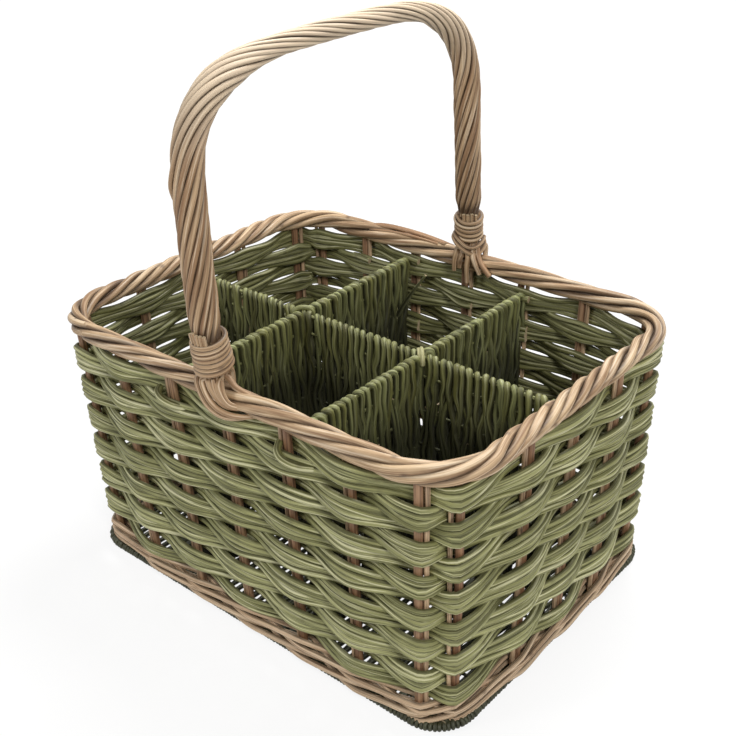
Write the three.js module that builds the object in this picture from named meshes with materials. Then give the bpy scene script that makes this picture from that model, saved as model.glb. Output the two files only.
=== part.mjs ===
// Wicker basket for six bottles: a woven willow box with a rope border, dividers and a twisted bow handle.
// Millimetres, +Z up. The origin is on the ground under the middle of the basket, and +X is the long way.
import * as THREE from "three";

// Plan and height of the wall, measured at its middle surface
const rimLength = 346;
const rimWidth = 256;
const rimHeight = 191;
const cornerRadius = 41;
const wallInset = 5.2; // the plan is this much smaller on each side at the ground

// Clearances
const seatGap = 0.3; // between a piece and what it stands or lies on
const weaveGap = 0.35; // between a rod and the stake that it passes
const weaveSlack = 0.3; // more room, because a rod bends away straight beside the stake

// Base: ribs that pass over one stick and under the next, inside a level edge
const baseThickness = 8;
const baseMargin = 4.7; // past the middle of the wall
const baseCornerRadius = 30;
const baseRibPitch = 9;
const baseRibDepth = 1; // how far every other rib stays back at its ends
const baseEdgeWidth = 13;
const baseStickSpacing = 36;
const baseStickCount = 7;
const baseWaveDepth = 3.8; // from the top of a rib down to where it passes under a stick

// Stakes: each is a thick rod with a thin one pressed against it
const stakeRadius = 2.8;
const byeStakeRadius = 1.5;
const byeStakeMerge = 0.4; // how far the thin stake is pressed into the thick one
const stakeSpacing = 51.4;
const longSideStakeCount = 5;
const shortSideStakeCount = 3;
const cornerPairBefore = 12; // distances of a corner's two pairs from the middle of the corner
const cornerPairAfter = 7;
const stakeArcPointCount = 6;
const byeStakeArcPointCount = 4;
const stakeArcOpening = Math.PI / 4; // where the two round outlines of a pair meet
const byeStakeArcOpening = -Math.PI / 12;

// Weave: each row is a flat bundle of four rods, spread out over the stakes and drawn together between them
const rodThickness = 3.2;
const rodSpread = 3.85; // height that each rod takes up over a stake
const rodCount = 4;
const rowCount = 12;
const firstRowHeight = 39.5;
const topRowDrop = 15.5; // from the middle of the border down to the middle of the top row
const spanStepCount = 3;

// Wale: the strong natural rows round the foot of the wall
const waleThickness = 4.8;
const walePitch = 11;
const waleRoundCount = 2;

// Rope border
const borderRadius = 7.5;
const borderValleyDepth = 1.9;
const borderStrandCount = 4;
const longSideTurnLength = 160; // length of one turn of the rope
const shortSideTurnLength = 85;
const borderTurnStepCount = 10;

// Dividers
const dividerDrop = 9; // from the middle of the border down to the top of the dividers
const dividerHalfThickness = 3.3;
const dividerRibPitch = 11;
const dividerRibDepth = 1.5; // how far the rib draws in where it passes behind a level stick
const dividerStickCount = 6; // from the bottom up to the top stick
const dividerSpacing = 109; // between the two short rows
const topRoundShare = 0.65;
const tieRadius = 1.3;
const tieDrop = 7;
const tieSideCount = 6;

// Handle
const handleRise = 198; // from the middle of the border up to the middle of the bow
const frontLegLean = 9; // how far each leg stands outside the middle of the border
const backLegLean = -5;
const frontShoulderDrop = 72; // how far under the top of the bow each leg starts to bend over
const backShoulderDrop = 79;
const shoulderInset = 20; // distance from the middle where the top is flat
const frontShoulderExponent = 3.1; // 2 is an ellipse, more is squarer
const backShoulderExponent = 2.7;
const shoulderPointCount = 5;
const frontLegShares = [
  [0, 0.3], // share of the way up the leg, and share of the way out to its reach
  [0.17, 0.59],
  [0.34, 0.88],
  [0.6, 1],
];
const backLegShares = [
  [0, 0],
  [0.35, 0.35],
  [0.7, 0.7],
];
const coreSideCount = 6;
const strandSideCount = 4;
const strandCount = 8;
const handleRadius = 9.8;
const topThicknessShare = 0.68; // how thick the handle is on top, as a share of its legs
const slimStart = 110; // distances from the middle between which it grows slimmer
const slimEnd = 62;
const strandTurnLength = 165; // length of one turn of a strand round the core
const strandTurnStepCount = 10;
const footRise = 14; // height of the collar's foot above the middle of the border
const innerTail = 24; // how far the strands reach down below the middle of the border, inside and outside
const outerTail = 14;
const footFanShare = 1.55; // how wide the strands lie where they pass the border
const tailFanShare = 2.6;
const footStepCount = 3;

// Collars: a thin rod wound round each foot of the handle
const collarRodRadius = 1.6;
const collarPitch = 3.75;
const collarTurnCount = 7;
const collarTurnStepCount = 14;
const collarSideCount = 5;
const leastWindingGap = 0.4;

// Sizes that follow from the ones above
const rowPitch = (rimHeight - topRowDrop - firstRowHeight) / (rowCount - 1);
const dividerHeight = rimHeight - dividerDrop;
const handleTop = rimHeight + handleRise;
const frontLegReach = rimWidth / 2 + frontLegLean;
const backLegReach = rimWidth / 2 + backLegLean;
const frontShoulder = handleTop - frontShoulderDrop;
const backShoulder = handleTop - backShoulderDrop;

const up = new THREE.Vector3(0, 0, 1);
const along = new THREE.Vector3(1, 0, 0);

const willow = new THREE.MeshStandardMaterial({ color: 0xb8936a, roughness: 0.62, metalness: 0 });
const brownWillow = new THREE.MeshStandardMaterial({ color: 0x6b4630, roughness: 0.68, metalness: 0 });
const greenWillow = new THREE.MeshStandardMaterial({ color: 0x7d8460, roughness: 0.6, metalness: 0 });
const darkGreenWillow = new THREE.MeshStandardMaterial({ color: 0x5d673c, roughness: 0.6, metalness: 0 });

const basket = new THREE.Group();

function addPiece(name, geometry, material) {
  const mesh = new THREE.Mesh(geometry, material.clone());
  mesh.name = name;
  basket.add(mesh);
}

// A closed skin over a row of outlines of equal size, each counter-clockwise about the way of travel.
function skinOver(outlines, isLoop) {
  const size = outlines[0].length;
  const points = outlines.flat();
  const faces = [];
  const spans = isLoop ? outlines.length : outlines.length - 1;
  for (let i = 0; i < spans; i++) {
    const here = i * size;
    const next = ((i + 1) % outlines.length) * size;
    for (let j = 0; j < size; j++) {
      const k = (j + 1) % size;
      faces.push(here + j, here + k, next + k);
      faces.push(here + j, next + k, next + j);
    }
  }
  if (!isLoop) {
    closeEnd(points, faces, 0, size, true);
    closeEnd(points, faces, spans * size, size, false);
  }
  const geometry = new THREE.BufferGeometry().setFromPoints(points);
  geometry.setIndex(faces);
  geometry.computeVertexNormals();
  return geometry;
}

function closeEnd(points, faces, first, size, isStart) {
  const middle = new THREE.Vector3();
  for (let j = 0; j < size; j++) middle.addScaledVector(points[first + j], 1 / size);
  const centre = points.push(middle) - 1;
  for (let j = 0; j < size; j++) {
    const a = first + j;
    const b = first + ((j + 1) % size);
    faces.push(centre, isStart ? b : a, isStart ? a : b);
  }
}

// A round rod along a line of stations. Each station has a point, a direction that its first corner faces
// and, where the rod is slimmer there, its share of the radius.
function rodAlong(stations, radius, sides) {
  const outlines = stations.map(({ point, facing, share = 1 }, i) => {
    const before = stations[Math.max(i - 1, 0)].point;
    const after = stations[Math.min(i + 1, stations.length - 1)].point;
    const travel = after.clone().sub(before).normalize();
    const first = facing.clone().addScaledVector(travel, -facing.dot(travel)).normalize();
    const second = travel.clone().cross(first);
    return Array.from({ length: sides }, (_, j) => {
      const angle = (2 * Math.PI * j) / sides;
      return point
        .clone()
        .addScaledVector(first, radius * share * Math.cos(angle))
        .addScaledVector(second, radius * share * Math.sin(angle));
    });
  });
  return skinOver(outlines, false);
}

// The wall's ring, walked counter-clockwise from the left end of the front side: front, right, back, left
const sideLengths = [rimLength, rimWidth, rimLength, rimWidth].map((n) => n - 2 * cornerRadius);
const cornerLength = (Math.PI / 2) * cornerRadius;
const ringLength = sideLengths.reduce((sum, n) => sum + n + cornerLength, 0);

function ringStart(side) {
  return sideLengths.slice(0, side).reduce((sum, n) => sum + n + cornerLength, 0);
}

// Which side, how far along its straight part, and how far round the corner after it
function placeAt(distance) {
  let rest = ((distance % ringLength) + ringLength) % ringLength;
  let side = 0;
  while (rest > sideLengths[side] + cornerLength) {
    rest -= sideLengths[side] + cornerLength;
    side += 1;
  }
  const straight = Math.min(rest, sideLengths[side]);
  return { side, share: straight / sideLengths[side], turn: (rest - straight) / cornerLength };
}

function outwardAt(place) {
  const angle = (Math.PI / 2) * (place.side - 1 + place.turn);
  return new THREE.Vector3(Math.cos(angle), Math.sin(angle), 0);
}

function insetAt(height) {
  return wallInset * (1 - height / rimHeight);
}

function wallPoint(place, height, outward) {
  const x = rimLength / 2 - insetAt(height) - cornerRadius;
  const y = rimWidth / 2 - insetAt(height) - cornerRadius;
  const corners = [
    [x, -y],
    [x, y],
    [-x, y],
    [-x, -y],
  ];
  const from = corners[(place.side + 3) % 4];
  const to = corners[place.side];
  const centre = new THREE.Vector3(
    THREE.MathUtils.lerp(from[0], to[0], place.share),
    THREE.MathUtils.lerp(from[1], to[1], place.share),
    height,
  );
  return centre.addScaledVector(outwardAt(place), cornerRadius + outward);
}

// How far a straight step of weaving cuts inside the round corner, beside the thin stake of a pair
const cornerSag = (byeStakeRadius * stakeSpacing) / spanStepCount / cornerRadius;

// Stakes in ring order. Each corner has two, and the first of them is turned, so that their thin rods face
// each other.
function stakeRing() {
  const ring = [];
  const addStake = (distance, sag, isTurned) => ring.push({ distance, cornerSag: sag, isTurned });
  for (let side = 0; side < sideLengths.length; side++) {
    const count = side % 2 === 0 ? longSideStakeCount : shortSideStakeCount;
    const middle = ringStart(side) + sideLengths[side] / 2;
    for (let i = 0; i < count; i++) {
      addStake(middle + (i - (count - 1) / 2) * stakeSpacing, 0, false);
    }
    const corner = ringStart(side) + sideLengths[side] + cornerLength / 2;
    addStake(corner - cornerPairBefore, cornerSag, true);
    addStake(corner + cornerPairAfter, cornerSag, false);
  }
  return ring;
}

const stakes = stakeRing();

// Corners of a stake's outline as [outward, along] pairs, counter-clockwise from above
function arcPoints(radius, shift, start, end, count) {
  return Array.from({ length: count }, (_, i) => {
    const angle = start + ((end - start) * i) / (count - 1);
    return [radius * Math.cos(angle), shift + radius * Math.sin(angle)];
  });
}

function stakeOutline(isTurned) {
  const thickShift = byeStakeRadius;
  const thinShift = thickShift - stakeRadius - byeStakeRadius + byeStakeMerge;
  const a = stakeArcOpening;
  const b = byeStakeArcOpening;
  const outline = [
    ...arcPoints(stakeRadius, thickShift, -a, Math.PI + a, stakeArcPointCount),
    ...arcPoints(byeStakeRadius, thinShift, Math.PI - b, 2 * Math.PI + b, byeStakeArcPointCount),
  ];
  return isTurned ? outline.map(([outward, forward]) => [outward, -forward]).reverse() : outline;
}

function addStakes() {
  const bottom = baseThickness + seatGap;
  const top = rimHeight - borderRadius - seatGap;
  stakes.forEach((stake, i) => {
    const place = placeAt(stake.distance);
    const ahead = up.clone().cross(outwardAt(place));
    const outlines = [bottom, top].map((height) =>
      stakeOutline(stake.isTurned).map(([outward, forward]) =>
        wallPoint(place, height, outward).addScaledVector(ahead, forward),
      ),
    );
    addPiece(`stake_${String(i + 1).padStart(2, "0")}`, skinOver(outlines, false), brownWillow);
  });
}

// One round of weaving: it passes outside one stake and inside the next, and neighbours pass the other way.
function weaveRound(height, thickness, bandHeight, crossingHeight, turnOver) {
  const outlines = [];
  const swingAt = (i) => {
    const stake = stakes[i % stakes.length];
    const swing = stakeRadius + weaveGap + weaveSlack + thickness / 2;
    return (i + turnOver) % 2 === 1 ? swing + stake.cornerSag : -swing;
  };
  stakes.forEach((stake, i) => {
    const next = stakes[(i + 1) % stakes.length];
    const span = (next.distance - stake.distance + ringLength) % ringLength;
    for (let step = 0; step < spanStepCount; step++) {
      const share = step / spanStepCount;
      const place = placeAt(stake.distance + span * share);
      const blend = (1 - Math.cos(Math.PI * share)) / 2;
      const swing = THREE.MathUtils.lerp(swingAt(i), swingAt(i + 1), blend);
      const half = (step === 0 ? bandHeight : crossingHeight) / 2;
      outlines.push([
        wallPoint(place, height - half, swing + thickness / 2),
        wallPoint(place, height - half, swing - thickness / 2),
        wallPoint(place, height + half, swing - thickness / 2),
        wallPoint(place, height + half, swing + thickness / 2),
      ]);
    }
  });
  return skinOver(outlines, true);
}

function addWeave() {
  const bandHeight = rodCount * rodSpread;
  for (let row = 0; row < rowCount; row++) {
    const height = firstRowHeight + row * rowPitch;
    const geometry = weaveRound(height, rodThickness, bandHeight, rowPitch - weaveGap, row);
    addPiece(`weave_row_${String(row + 1).padStart(2, "0")}`, geometry, greenWillow);
  }
  for (let round = 0; round < waleRoundCount; round++) {
    const bandHeight = walePitch - weaveGap;
    const height = baseThickness + seatGap + bandHeight / 2 + round * walePitch;
    const geometry = weaveRound(height, waleThickness, bandHeight, bandHeight, round);
    addPiece(`bottom_wale_round_${round + 1}`, geometry, willow);
  }
}

// The base: rods laid side by side across the basket, rounded off at the corners
function addBase() {
  const halfLength = rimLength / 2 - insetAt(0) + baseMargin;
  const halfWidth = rimWidth / 2 - insetAt(0) + baseMargin;
  const ribs = Math.round((2 * halfLength) / baseRibPitch);
  const outlines = [];
  for (let i = 0; i <= ribs; i++) {
    const x = halfLength * ((2 * i) / ribs - 1);
    const past = Math.max(0, Math.abs(x) - (halfLength - baseCornerRadius));
    const corner = Math.sqrt(Math.max(0, baseCornerRadius ** 2 - past * past));
    const groove = i % 2 === 0 ? baseRibDepth : 0;
    const y = halfWidth - baseCornerRadius + corner - groove;
    const isLevel = Math.abs(x) > halfLength - baseEdgeWidth;
    outlines.push(baseOutline(x, y, isLevel ? null : i));
  }
  addPiece("base_panel", skinOver(outlines, false), darkGreenWillow);
}

// One rib of the base from end to end. It is level where it has no number.
function baseOutline(x, halfWidth, rib) {
  const inner = halfWidth - baseEdgeWidth;
  const spacing = Math.min(baseStickSpacing, (2 * inner) / baseStickCount);
  const waves = Array.from({ length: baseStickCount }, (_, k) => {
    const dip = rib !== null && (rib + k) % 2 === 0 ? baseWaveDepth : 0;
    return [(k - (baseStickCount - 1) / 2) * spacing, baseThickness - dip];
  });
  const corners = [
    [-halfWidth, 0],
    [halfWidth, 0],
    [halfWidth, baseThickness],
    [inner, baseThickness],
    ...waves.reverse(),
    [-inner, baseThickness],
    [-halfWidth, baseThickness],
  ];
  return corners.map(([y, z]) => new THREE.Vector3(x, y, z));
}

// A woven divider: upright ribs that draw in at every other level stick, under a round top stick.
// Its ends are distances from the origin that vary with height.
function dividerPanel(origin, travel, startAt, endAt) {
  const sideways = up.clone().cross(travel);
  const shoulder = dividerHeight - dividerHalfThickness;
  const length = endAt(shoulder) - startAt(shoulder);
  const ribs = Math.max(1, Math.round(length / dividerRibPitch));
  const outlines = [];
  for (let i = 0; i <= ribs; i++) {
    outlines.push(
      dividerOutline(i, shoulder).map(([aside, height]) => {
        const distance = THREE.MathUtils.lerp(startAt(height), endAt(height), i / ribs);
        return new THREE.Vector3(origin, 0, height)
          .addScaledVector(travel, distance)
          .addScaledVector(sideways, aside);
      }),
    );
  }
  return skinOver(outlines, false);
}

// Corners of a rib of a divider as [aside, height] pairs: up one face, over the top stick and down the other
function dividerOutline(rib, shoulder) {
  const bottom = baseThickness + seatGap;
  const face = Array.from({ length: dividerStickCount + 1 }, (_, level) => {
    const isDrawnIn = level < dividerStickCount && (rib + level) % 2 === 0;
    const half = dividerHalfThickness - (isDrawnIn ? dividerRibDepth : 0);
    return [half, THREE.MathUtils.lerp(bottom, shoulder, level / dividerStickCount)];
  });
  const crown = [dividerHalfThickness * topRoundShare, dividerHeight];
  const half = [...face, crown];
  const mirrored = half.map(([aside, height]) => [-aside, height]);
  return [...half, ...mirrored.reverse()];
}

// Distance from the middle plane to the inner face of the weaving, from the wale up to the border
function innerReach(rimSize, height) {
  const faceOf = (thickness) => stakeRadius + weaveGap + weaveSlack + thickness + seatGap;
  const low = rimSize / 2 - insetAt(0) - faceOf(waleThickness);
  const high = rimSize / 2 - faceOf(rodThickness);
  return THREE.MathUtils.lerp(low, high, height / rimHeight);
}

function addDividers() {
  const longReach = (height) => innerReach(rimLength, height);
  const shortReach = (height) => innerReach(rimWidth, height);
  const longStart = (height) => -longReach(height);
  addPiece("long_divider", dividerPanel(0, along, longStart, longReach), darkGreenWillow);
  const inner = () => dividerHalfThickness + seatGap;
  const ways = { front: new THREE.Vector3(0, -1, 0), back: new THREE.Vector3(0, 1, 0) };
  const places = { left: -dividerSpacing / 2, right: dividerSpacing / 2 };
  for (const [side, x] of Object.entries(places)) {
    for (const [way, travel] of Object.entries(ways)) {
      const panel = dividerPanel(x, travel, inner, shortReach);
      addPiece(`short_divider_${side}_${way}`, panel, darkGreenWillow);
    }
    addPiece(`divider_tie_${side}`, dividerTie(x), darkGreenWillow);
  }
}

// A thin rod bent over the crossing of two dividers, down into two opposite corners
function dividerTie(x) {
  const aside = dividerHalfThickness + seatGap + tieRadius;
  const crown = dividerHeight + seatGap + tieRadius;
  const foot = dividerHeight - tieDrop;
  const ends = [
    [-aside, foot],
    [-aside, dividerHeight - tieRadius],
    [-aside / 2, crown],
    [aside / 2, crown],
    [aside, dividerHeight - tieRadius],
    [aside, foot],
  ];
  const facing = new THREE.Vector3(1, -1, 0).normalize();
  const stations = ends.map(([offset, height]) => ({
    point: new THREE.Vector3(x + offset, offset, height),
    facing,
  }));
  return rodAlong(stations, tieRadius, tieSideCount);
}

// The border: a rope of strands laid round the top of the stakes, with a shorter turn on the short sides
function addBorder() {
  const turnLengths = [longSideTurnLength, shortSideTurnLength, longSideTurnLength, shortSideTurnLength];
  const stretches = [];
  turnLengths.forEach((turn, side) => {
    const start = ringStart(side);
    stretches.push({ start, length: sideLengths[side], turn });
    const cornerTurn = (longSideTurnLength + shortSideTurnLength) / 2;
    stretches.push({ start: start + sideLengths[side], length: cornerLength, turn: cornerTurn });
  });
  const turns = stretches.reduce((sum, s) => sum + s.length / s.turn, 0);
  const wholeTurns = Math.round(turns); // so that the rope's end meets its start
  let twist = 0;
  const outlines = [];
  for (const { start, length, turn } of stretches) {
    const steps = Math.ceil((length / turn) * borderTurnStepCount);
    const twistStep = (-2 * Math.PI * length * wholeTurns) / (turn * turns * steps);
    for (let i = 0; i < steps; i++) {
      outlines.push(borderOutline(placeAt(start + (length * i) / steps), twist));
      twist += twistStep;
    }
  }
  addPiece("rim_border", skinOver(outlines, true), willow);
}

function borderOutline(place, twist) {
  return Array.from({ length: 2 * borderStrandCount }, (_, j) => {
    const radius = borderRadius - (j % 2 === 0 ? 0 : borderValleyDepth);
    const angle = twist + (Math.PI * j) / borderStrandCount;
    return wallPoint(place, rimHeight + radius * Math.cos(angle), radius * Math.sin(angle));
  });
}

// The handle's middle line, from the front foot over the top to the back foot
const footHeight = rimHeight + borderRadius + seatGap;
const strandSpread = Math.sin(Math.PI / strandCount);
const strandRing = (handleRadius + weaveGap / 2) / (1 + strandSpread); // radius of the ring of strands
const strandRadius = handleRadius - strandRing;
const chordShare = Math.cos(Math.PI / strandTurnStepCount); // how far a straight step cuts inside its circle
const coreRadius = (strandRing - strandRadius) * chordShare - weaveGap;

function shoulderLine(legReach, shoulderHeight, exponent, sign) {
  const line = [];
  for (let i = 0; i <= shoulderPointCount; i++) {
    const angle = (Math.PI / 2) * (i / (shoulderPointCount + 1));
    const y = shoulderInset + (legReach - shoulderInset) * Math.cos(angle) ** (2 / exponent);
    const rise = (handleTop - shoulderHeight) * Math.sin(angle) ** (2 / exponent);
    line.push(new THREE.Vector3(0, sign * y, shoulderHeight + rise));
  }
  return line;
}

function handleLine() {
  const footReach = rimWidth / 2;
  const leg = (reach, shoulder, sign, shares) =>
    shares.map(([heightShare, reachShare]) => {
      const y = THREE.MathUtils.lerp(footReach, reach, reachShare);
      const z = THREE.MathUtils.lerp(footHeight, shoulder, heightShare);
      return new THREE.Vector3(0, sign * y, z);
    });
  return new THREE.CatmullRomCurve3([
    ...leg(frontLegReach, frontShoulder, -1, frontLegShares),
    ...shoulderLine(frontLegReach, frontShoulder, frontShoulderExponent, -1),
    new THREE.Vector3(0, 0, handleTop),
    ...shoulderLine(backLegReach, backShoulder, backShoulderExponent, 1).reverse(),
    ...leg(backLegReach, backShoulder, 1, backLegShares).reverse(),
  ]);
}

const handle = handleLine();
const handleLength = handle.getLength();

// A point beside the handle's middle line, at an angle from +X towards the inside of the basket
function besideHandle(distance, angle, radius) {
  const place = THREE.MathUtils.clamp(distance / handleLength, 0, 1);
  const middle = handle.getPointAt(place);
  const inward = handle.getTangentAt(place).cross(along).normalize();
  const facing = along.clone().multiplyScalar(Math.cos(angle)).addScaledVector(inward, Math.sin(angle));
  const thickness = THREE.MathUtils.smoothstep(Math.abs(middle.y), slimEnd, slimStart);
  const share = THREE.MathUtils.lerp(topThicknessShare, 1, thickness);
  return { point: middle.clone().addScaledVector(facing, radius * share), facing, share };
}

// A strand's way from its place under the collar down past the border, spreading along the wall.
// The sign tells the front foot, -1, from the back foot, 1.
function strandFoot(distance, angle, sign) {
  const start = besideHandle(distance, angle, strandRing);
  const isInner = Math.sin(angle) > 0;
  const wayOut = new THREE.Vector3(0, isInner ? -sign : sign, 0);
  const pass = borderRadius + weaveGap + strandRadius;
  const face = stakeRadius + weaveGap + weaveSlack + rodThickness + weaveGap + strandRadius;
  const place = (fanShare, aside, rise) => {
    const point = new THREE.Vector3(start.point.x * fanShare, (sign * rimWidth) / 2, rimHeight + rise);
    return point.addScaledVector(wayOut, aside);
  };
  const bend = new THREE.QuadraticBezierCurve3(
    start.point,
    place(footFanShare, pass, footRise - strandRadius),
    place(footFanShare, pass, 0),
  );
  const points = bend.getPoints(footStepCount).slice(1);
  points.push(place(tailFanShare, face, isInner ? -innerTail : -outerTail));
  return points.map((point, i) => ({
    point,
    facing: start.facing.clone().lerp(wayOut, Math.min(1, (i + 1) / footStepCount)),
  }));
}

function addHandle() {
  const bottom = rimHeight + footRise - footHeight; // where the helix starts and ends, along the handle
  const helixLength = handleLength - 2 * bottom;
  const turns = Math.round((helixLength / strandTurnLength) * strandCount) / strandCount;
  const steps = Math.round(turns * strandTurnStepCount);
  const coreStations = [];
  for (let i = 0; i <= steps; i++) coreStations.push(besideHandle((handleLength * i) / steps, 0, 0));
  addPiece("handle_core", rodAlong(coreStations, coreRadius, coreSideCount), brownWillow);
  for (let n = 0; n < strandCount; n++) {
    const first = (2 * Math.PI * (n + 1 / 2)) / strandCount;
    const last = first + 2 * Math.PI * turns;
    const stations = strandFoot(bottom, first, -1).reverse();
    for (let i = 0; i <= steps; i++) {
      const share = i / steps;
      stations.push(
        besideHandle(bottom + helixLength * share, THREE.MathUtils.lerp(first, last, share), strandRing),
      );
    }
    stations.push(...strandFoot(bottom + helixLength, last, 1));
    addPiece(`handle_strand_${n + 1}`, rodAlong(stations, strandRadius, strandSideCount), willow);
  }
}

// One unbroken winding, with a straight end one rod thick at each side
function collarStations(start, sign) {
  const radius = handleRadius + weaveGap + collarRodRadius;
  const steps = collarTurnCount * collarTurnStepCount;
  const stations = [];
  for (let i = 0; i <= steps; i++) {
    const distance = start + (sign * collarPitch * i) / collarTurnStepCount;
    stations.push(besideHandle(distance, (2 * Math.PI * i) / collarTurnStepCount, radius));
  }
  const runOut = (end, before) => {
    const way = end.point.clone().sub(before.point).setLength(2 * collarRodRadius);
    return { point: end.point.clone().add(way), facing: end.facing };
  };
  return [runOut(stations[0], stations[1]), ...stations, runOut(stations.at(-1), stations.at(-2))];
}

// The least gap of a winding to itself, measured between all its points a turn or so apart
function leastGap(stations) {
  let least = Infinity;
  for (let i = 0; i < stations.length; i++) {
    for (let j = i + Math.round(collarTurnStepCount / 2); j < stations.length; j++) {
      least = Math.min(least, stations[i].point.distanceTo(stations[j].point));
    }
  }
  return least - 2 * collarRodRadius;
}

function addCollars() {
  const bottom = rimHeight + footRise - footHeight + collarRodRadius;
  const places = { front: [bottom, 1], back: [handleLength - bottom, -1] };
  for (const [name, [start, sign]] of Object.entries(places)) {
    const stations = collarStations(start, sign);
    const gap = leastGap(stations);
    console.log(`collar_${name}: least gap to itself ${gap.toFixed(2)} mm`);
    if (gap < leastWindingGap) console.log(`collar_${name}: the winding is too tight`);
    addPiece(`collar_${name}`, rodAlong(stations, collarRodRadius, collarSideCount), willow);
  }
}

addBase();
addStakes();
addWeave();
addDividers();
addBorder();
addHandle();
addCollars();

export default basket;
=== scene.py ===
"""Wicker basket for six bottles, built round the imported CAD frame.

Every willow rod is a path in millimetres in the frame of the CAD. One Geometry Nodes tree sweeps the paths
into round rods, so each piece is a bundle of real rods with a procedural bark.
"""
import math
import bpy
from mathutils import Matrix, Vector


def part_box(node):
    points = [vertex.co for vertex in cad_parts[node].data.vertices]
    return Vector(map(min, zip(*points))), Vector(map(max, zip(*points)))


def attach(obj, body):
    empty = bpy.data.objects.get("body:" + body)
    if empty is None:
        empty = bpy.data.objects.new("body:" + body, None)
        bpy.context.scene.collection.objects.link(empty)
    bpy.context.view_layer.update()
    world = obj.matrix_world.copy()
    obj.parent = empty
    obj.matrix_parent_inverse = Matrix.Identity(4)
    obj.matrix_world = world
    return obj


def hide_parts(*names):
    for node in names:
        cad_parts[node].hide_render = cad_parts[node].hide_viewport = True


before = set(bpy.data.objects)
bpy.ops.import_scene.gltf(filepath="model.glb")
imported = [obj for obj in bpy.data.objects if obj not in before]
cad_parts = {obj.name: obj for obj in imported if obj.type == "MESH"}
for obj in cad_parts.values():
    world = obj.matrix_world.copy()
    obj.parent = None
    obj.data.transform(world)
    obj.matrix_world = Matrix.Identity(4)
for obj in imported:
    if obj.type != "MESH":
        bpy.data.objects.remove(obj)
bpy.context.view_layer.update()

from types import SimpleNamespace

import bpy
import numpy as np
from mathutils import Matrix, Vector

bl_info = {
    "name": "Wicker Bottle Basket",
    "version": (1, 0, 0),
    "blender": (4, 5, 0),
    "location": "View3D > Sidebar > Basket",
    "description": "A woven willow basket for six bottles, with a rope border and a twisted bow handle",
    "category": "Object",
}

MM = 0.001
FULL_TURN = 2 * math.pi
STAKE_NODES = sorted(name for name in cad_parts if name.startswith("stake_"))
ROW_NODES = sorted(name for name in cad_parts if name.startswith("weave_row_"))
WALE_NODES = sorted(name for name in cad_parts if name.startswith("bottom_wale_round_"))
STRAND_NODES = sorted(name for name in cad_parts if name.startswith("handle_strand_"))
SIDE_STAKES = (5, 3, 5, 3)  # stakes on the front, right, back and left side, between the corners


def box_of(node):
    low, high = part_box(node)
    return np.array(low) / MM, np.array(high) / MM


# Sizes and colours


def length(name, description, default):
    return bpy.props.FloatProperty(
        name=name, description=description, default=default * MM, min=0.0, unit="LENGTH", subtype="DISTANCE"
    )


def colour(name, description, default):
    return bpy.props.FloatVectorProperty(
        name=name, description=description, default=default, size=3, min=0.0, max=1.0, subtype="COLOR"
    )


class BasketSizes(bpy.types.PropertyGroup):
    """Sizes of the wall, the rods and the handle"""

    rim_length: length("Rim length", "Length of the wall's middle line at the border", 346)
    rim_width: length("Rim width", "Width of the wall's middle line at the border", 256)
    rim_height: length("Rim height", "Height of the middle of the border", 191)
    corner_radius: length("Corner radius", "Radius of the wall's corners", 41)
    wall_inset: length("Wall inset", "How much smaller the plan is on each side at the ground", 5.2)
    stake_radius: length("Stake radius", "Radius of the thick stakes", 2.8)
    thin_stake_radius: length("Thin stake radius", "Radius of the thin stakes beside them", 1.5)
    stake_spacing: length("Stake spacing", "Distance between two pairs of stakes", 51.4)
    corner_pair_before: length("Corner pair before", "From a corner's middle back to its first stake", 12)
    corner_pair_after: length("Corner pair after", "From a corner's middle on to its second stake", 7)
    base_corner_radius: length("Base corner radius", "Radius of the corners of the base", 30)
    weave_rod: length("Weaving rod", "Radius of the green rods of the wall", 2.25)
    first_row: length("First row", "Height of the lowest green row", 39.5)
    row_pitch: length("Row pitch", "Height from one green row to the next", 12.364)
    wale_rod: length("Wale rod", "Radius of the strong rods round the foot", 2.0)
    border_radius: length("Border radius", "Radius of the rope border", 7.5)
    divider_rod: length("Divider rod", "Radius of the rods of the dividers", 2.4)
    divider_pitch: length("Divider pitch", "Distance between two loops of a divider", 5.7)
    handle_top: length("Handle top", "Height of the handle's middle line at the top", 389)
    handle_rod: length("Handle rod", "Radius of the rods of the handle", 2.1)
    collar_rod: length("Collar rod", "Radius of the rod that binds each foot of the handle", 1.65)


class BasketColours(bpy.types.PropertyGroup):
    """Colours of the willow"""

    natural: colour("Natural willow", "Peeled rods of the border and the handle", (0.66, 0.48, 0.29))
    natural_dark: colour("Brown side", "Browner rods among the peeled ones", (0.4, 0.24, 0.125))
    wale: colour("Wale brown", "Rods of the wale round the foot", (0.86, 0.66, 0.44))
    wale_dark: colour("Dark wale brown", "Darker rods of the wale", (0.56, 0.38, 0.23))
    green: colour("Green willow", "Rods of the wall", (0.25, 0.248, 0.084))
    green_light: colour("Pale green willow", "Paler rods of the wall", (0.42, 0.42, 0.185))
    divider: colour("Divider green", "Rods of the dividers and the base", (0.19, 0.185, 0.05))
    divider_light: colour("Pale divider green", "Paler rods of the dividers", (0.33, 0.35, 0.14))
    stake: colour("Stake brown", "Bark of the thick stakes", (0.27, 0.13, 0.06))
    thin_stake: colour("Thin stake tan", "Bark of the thin stakes", (0.7, 0.5, 0.31))
    pith: colour("Cut end", "Wood at the cut ends of the rods", (0.6, 0.47, 0.3))


def sizes_in_mm():
    group = bpy.context.scene.basket_sizes
    return SimpleNamespace(**{name: getattr(group, name) / MM for name in BasketSizes.__annotations__})


def pick(name):
    return tuple(getattr(bpy.context.scene.basket_colours, name)) + (1.0,)


# Wall line


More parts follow.
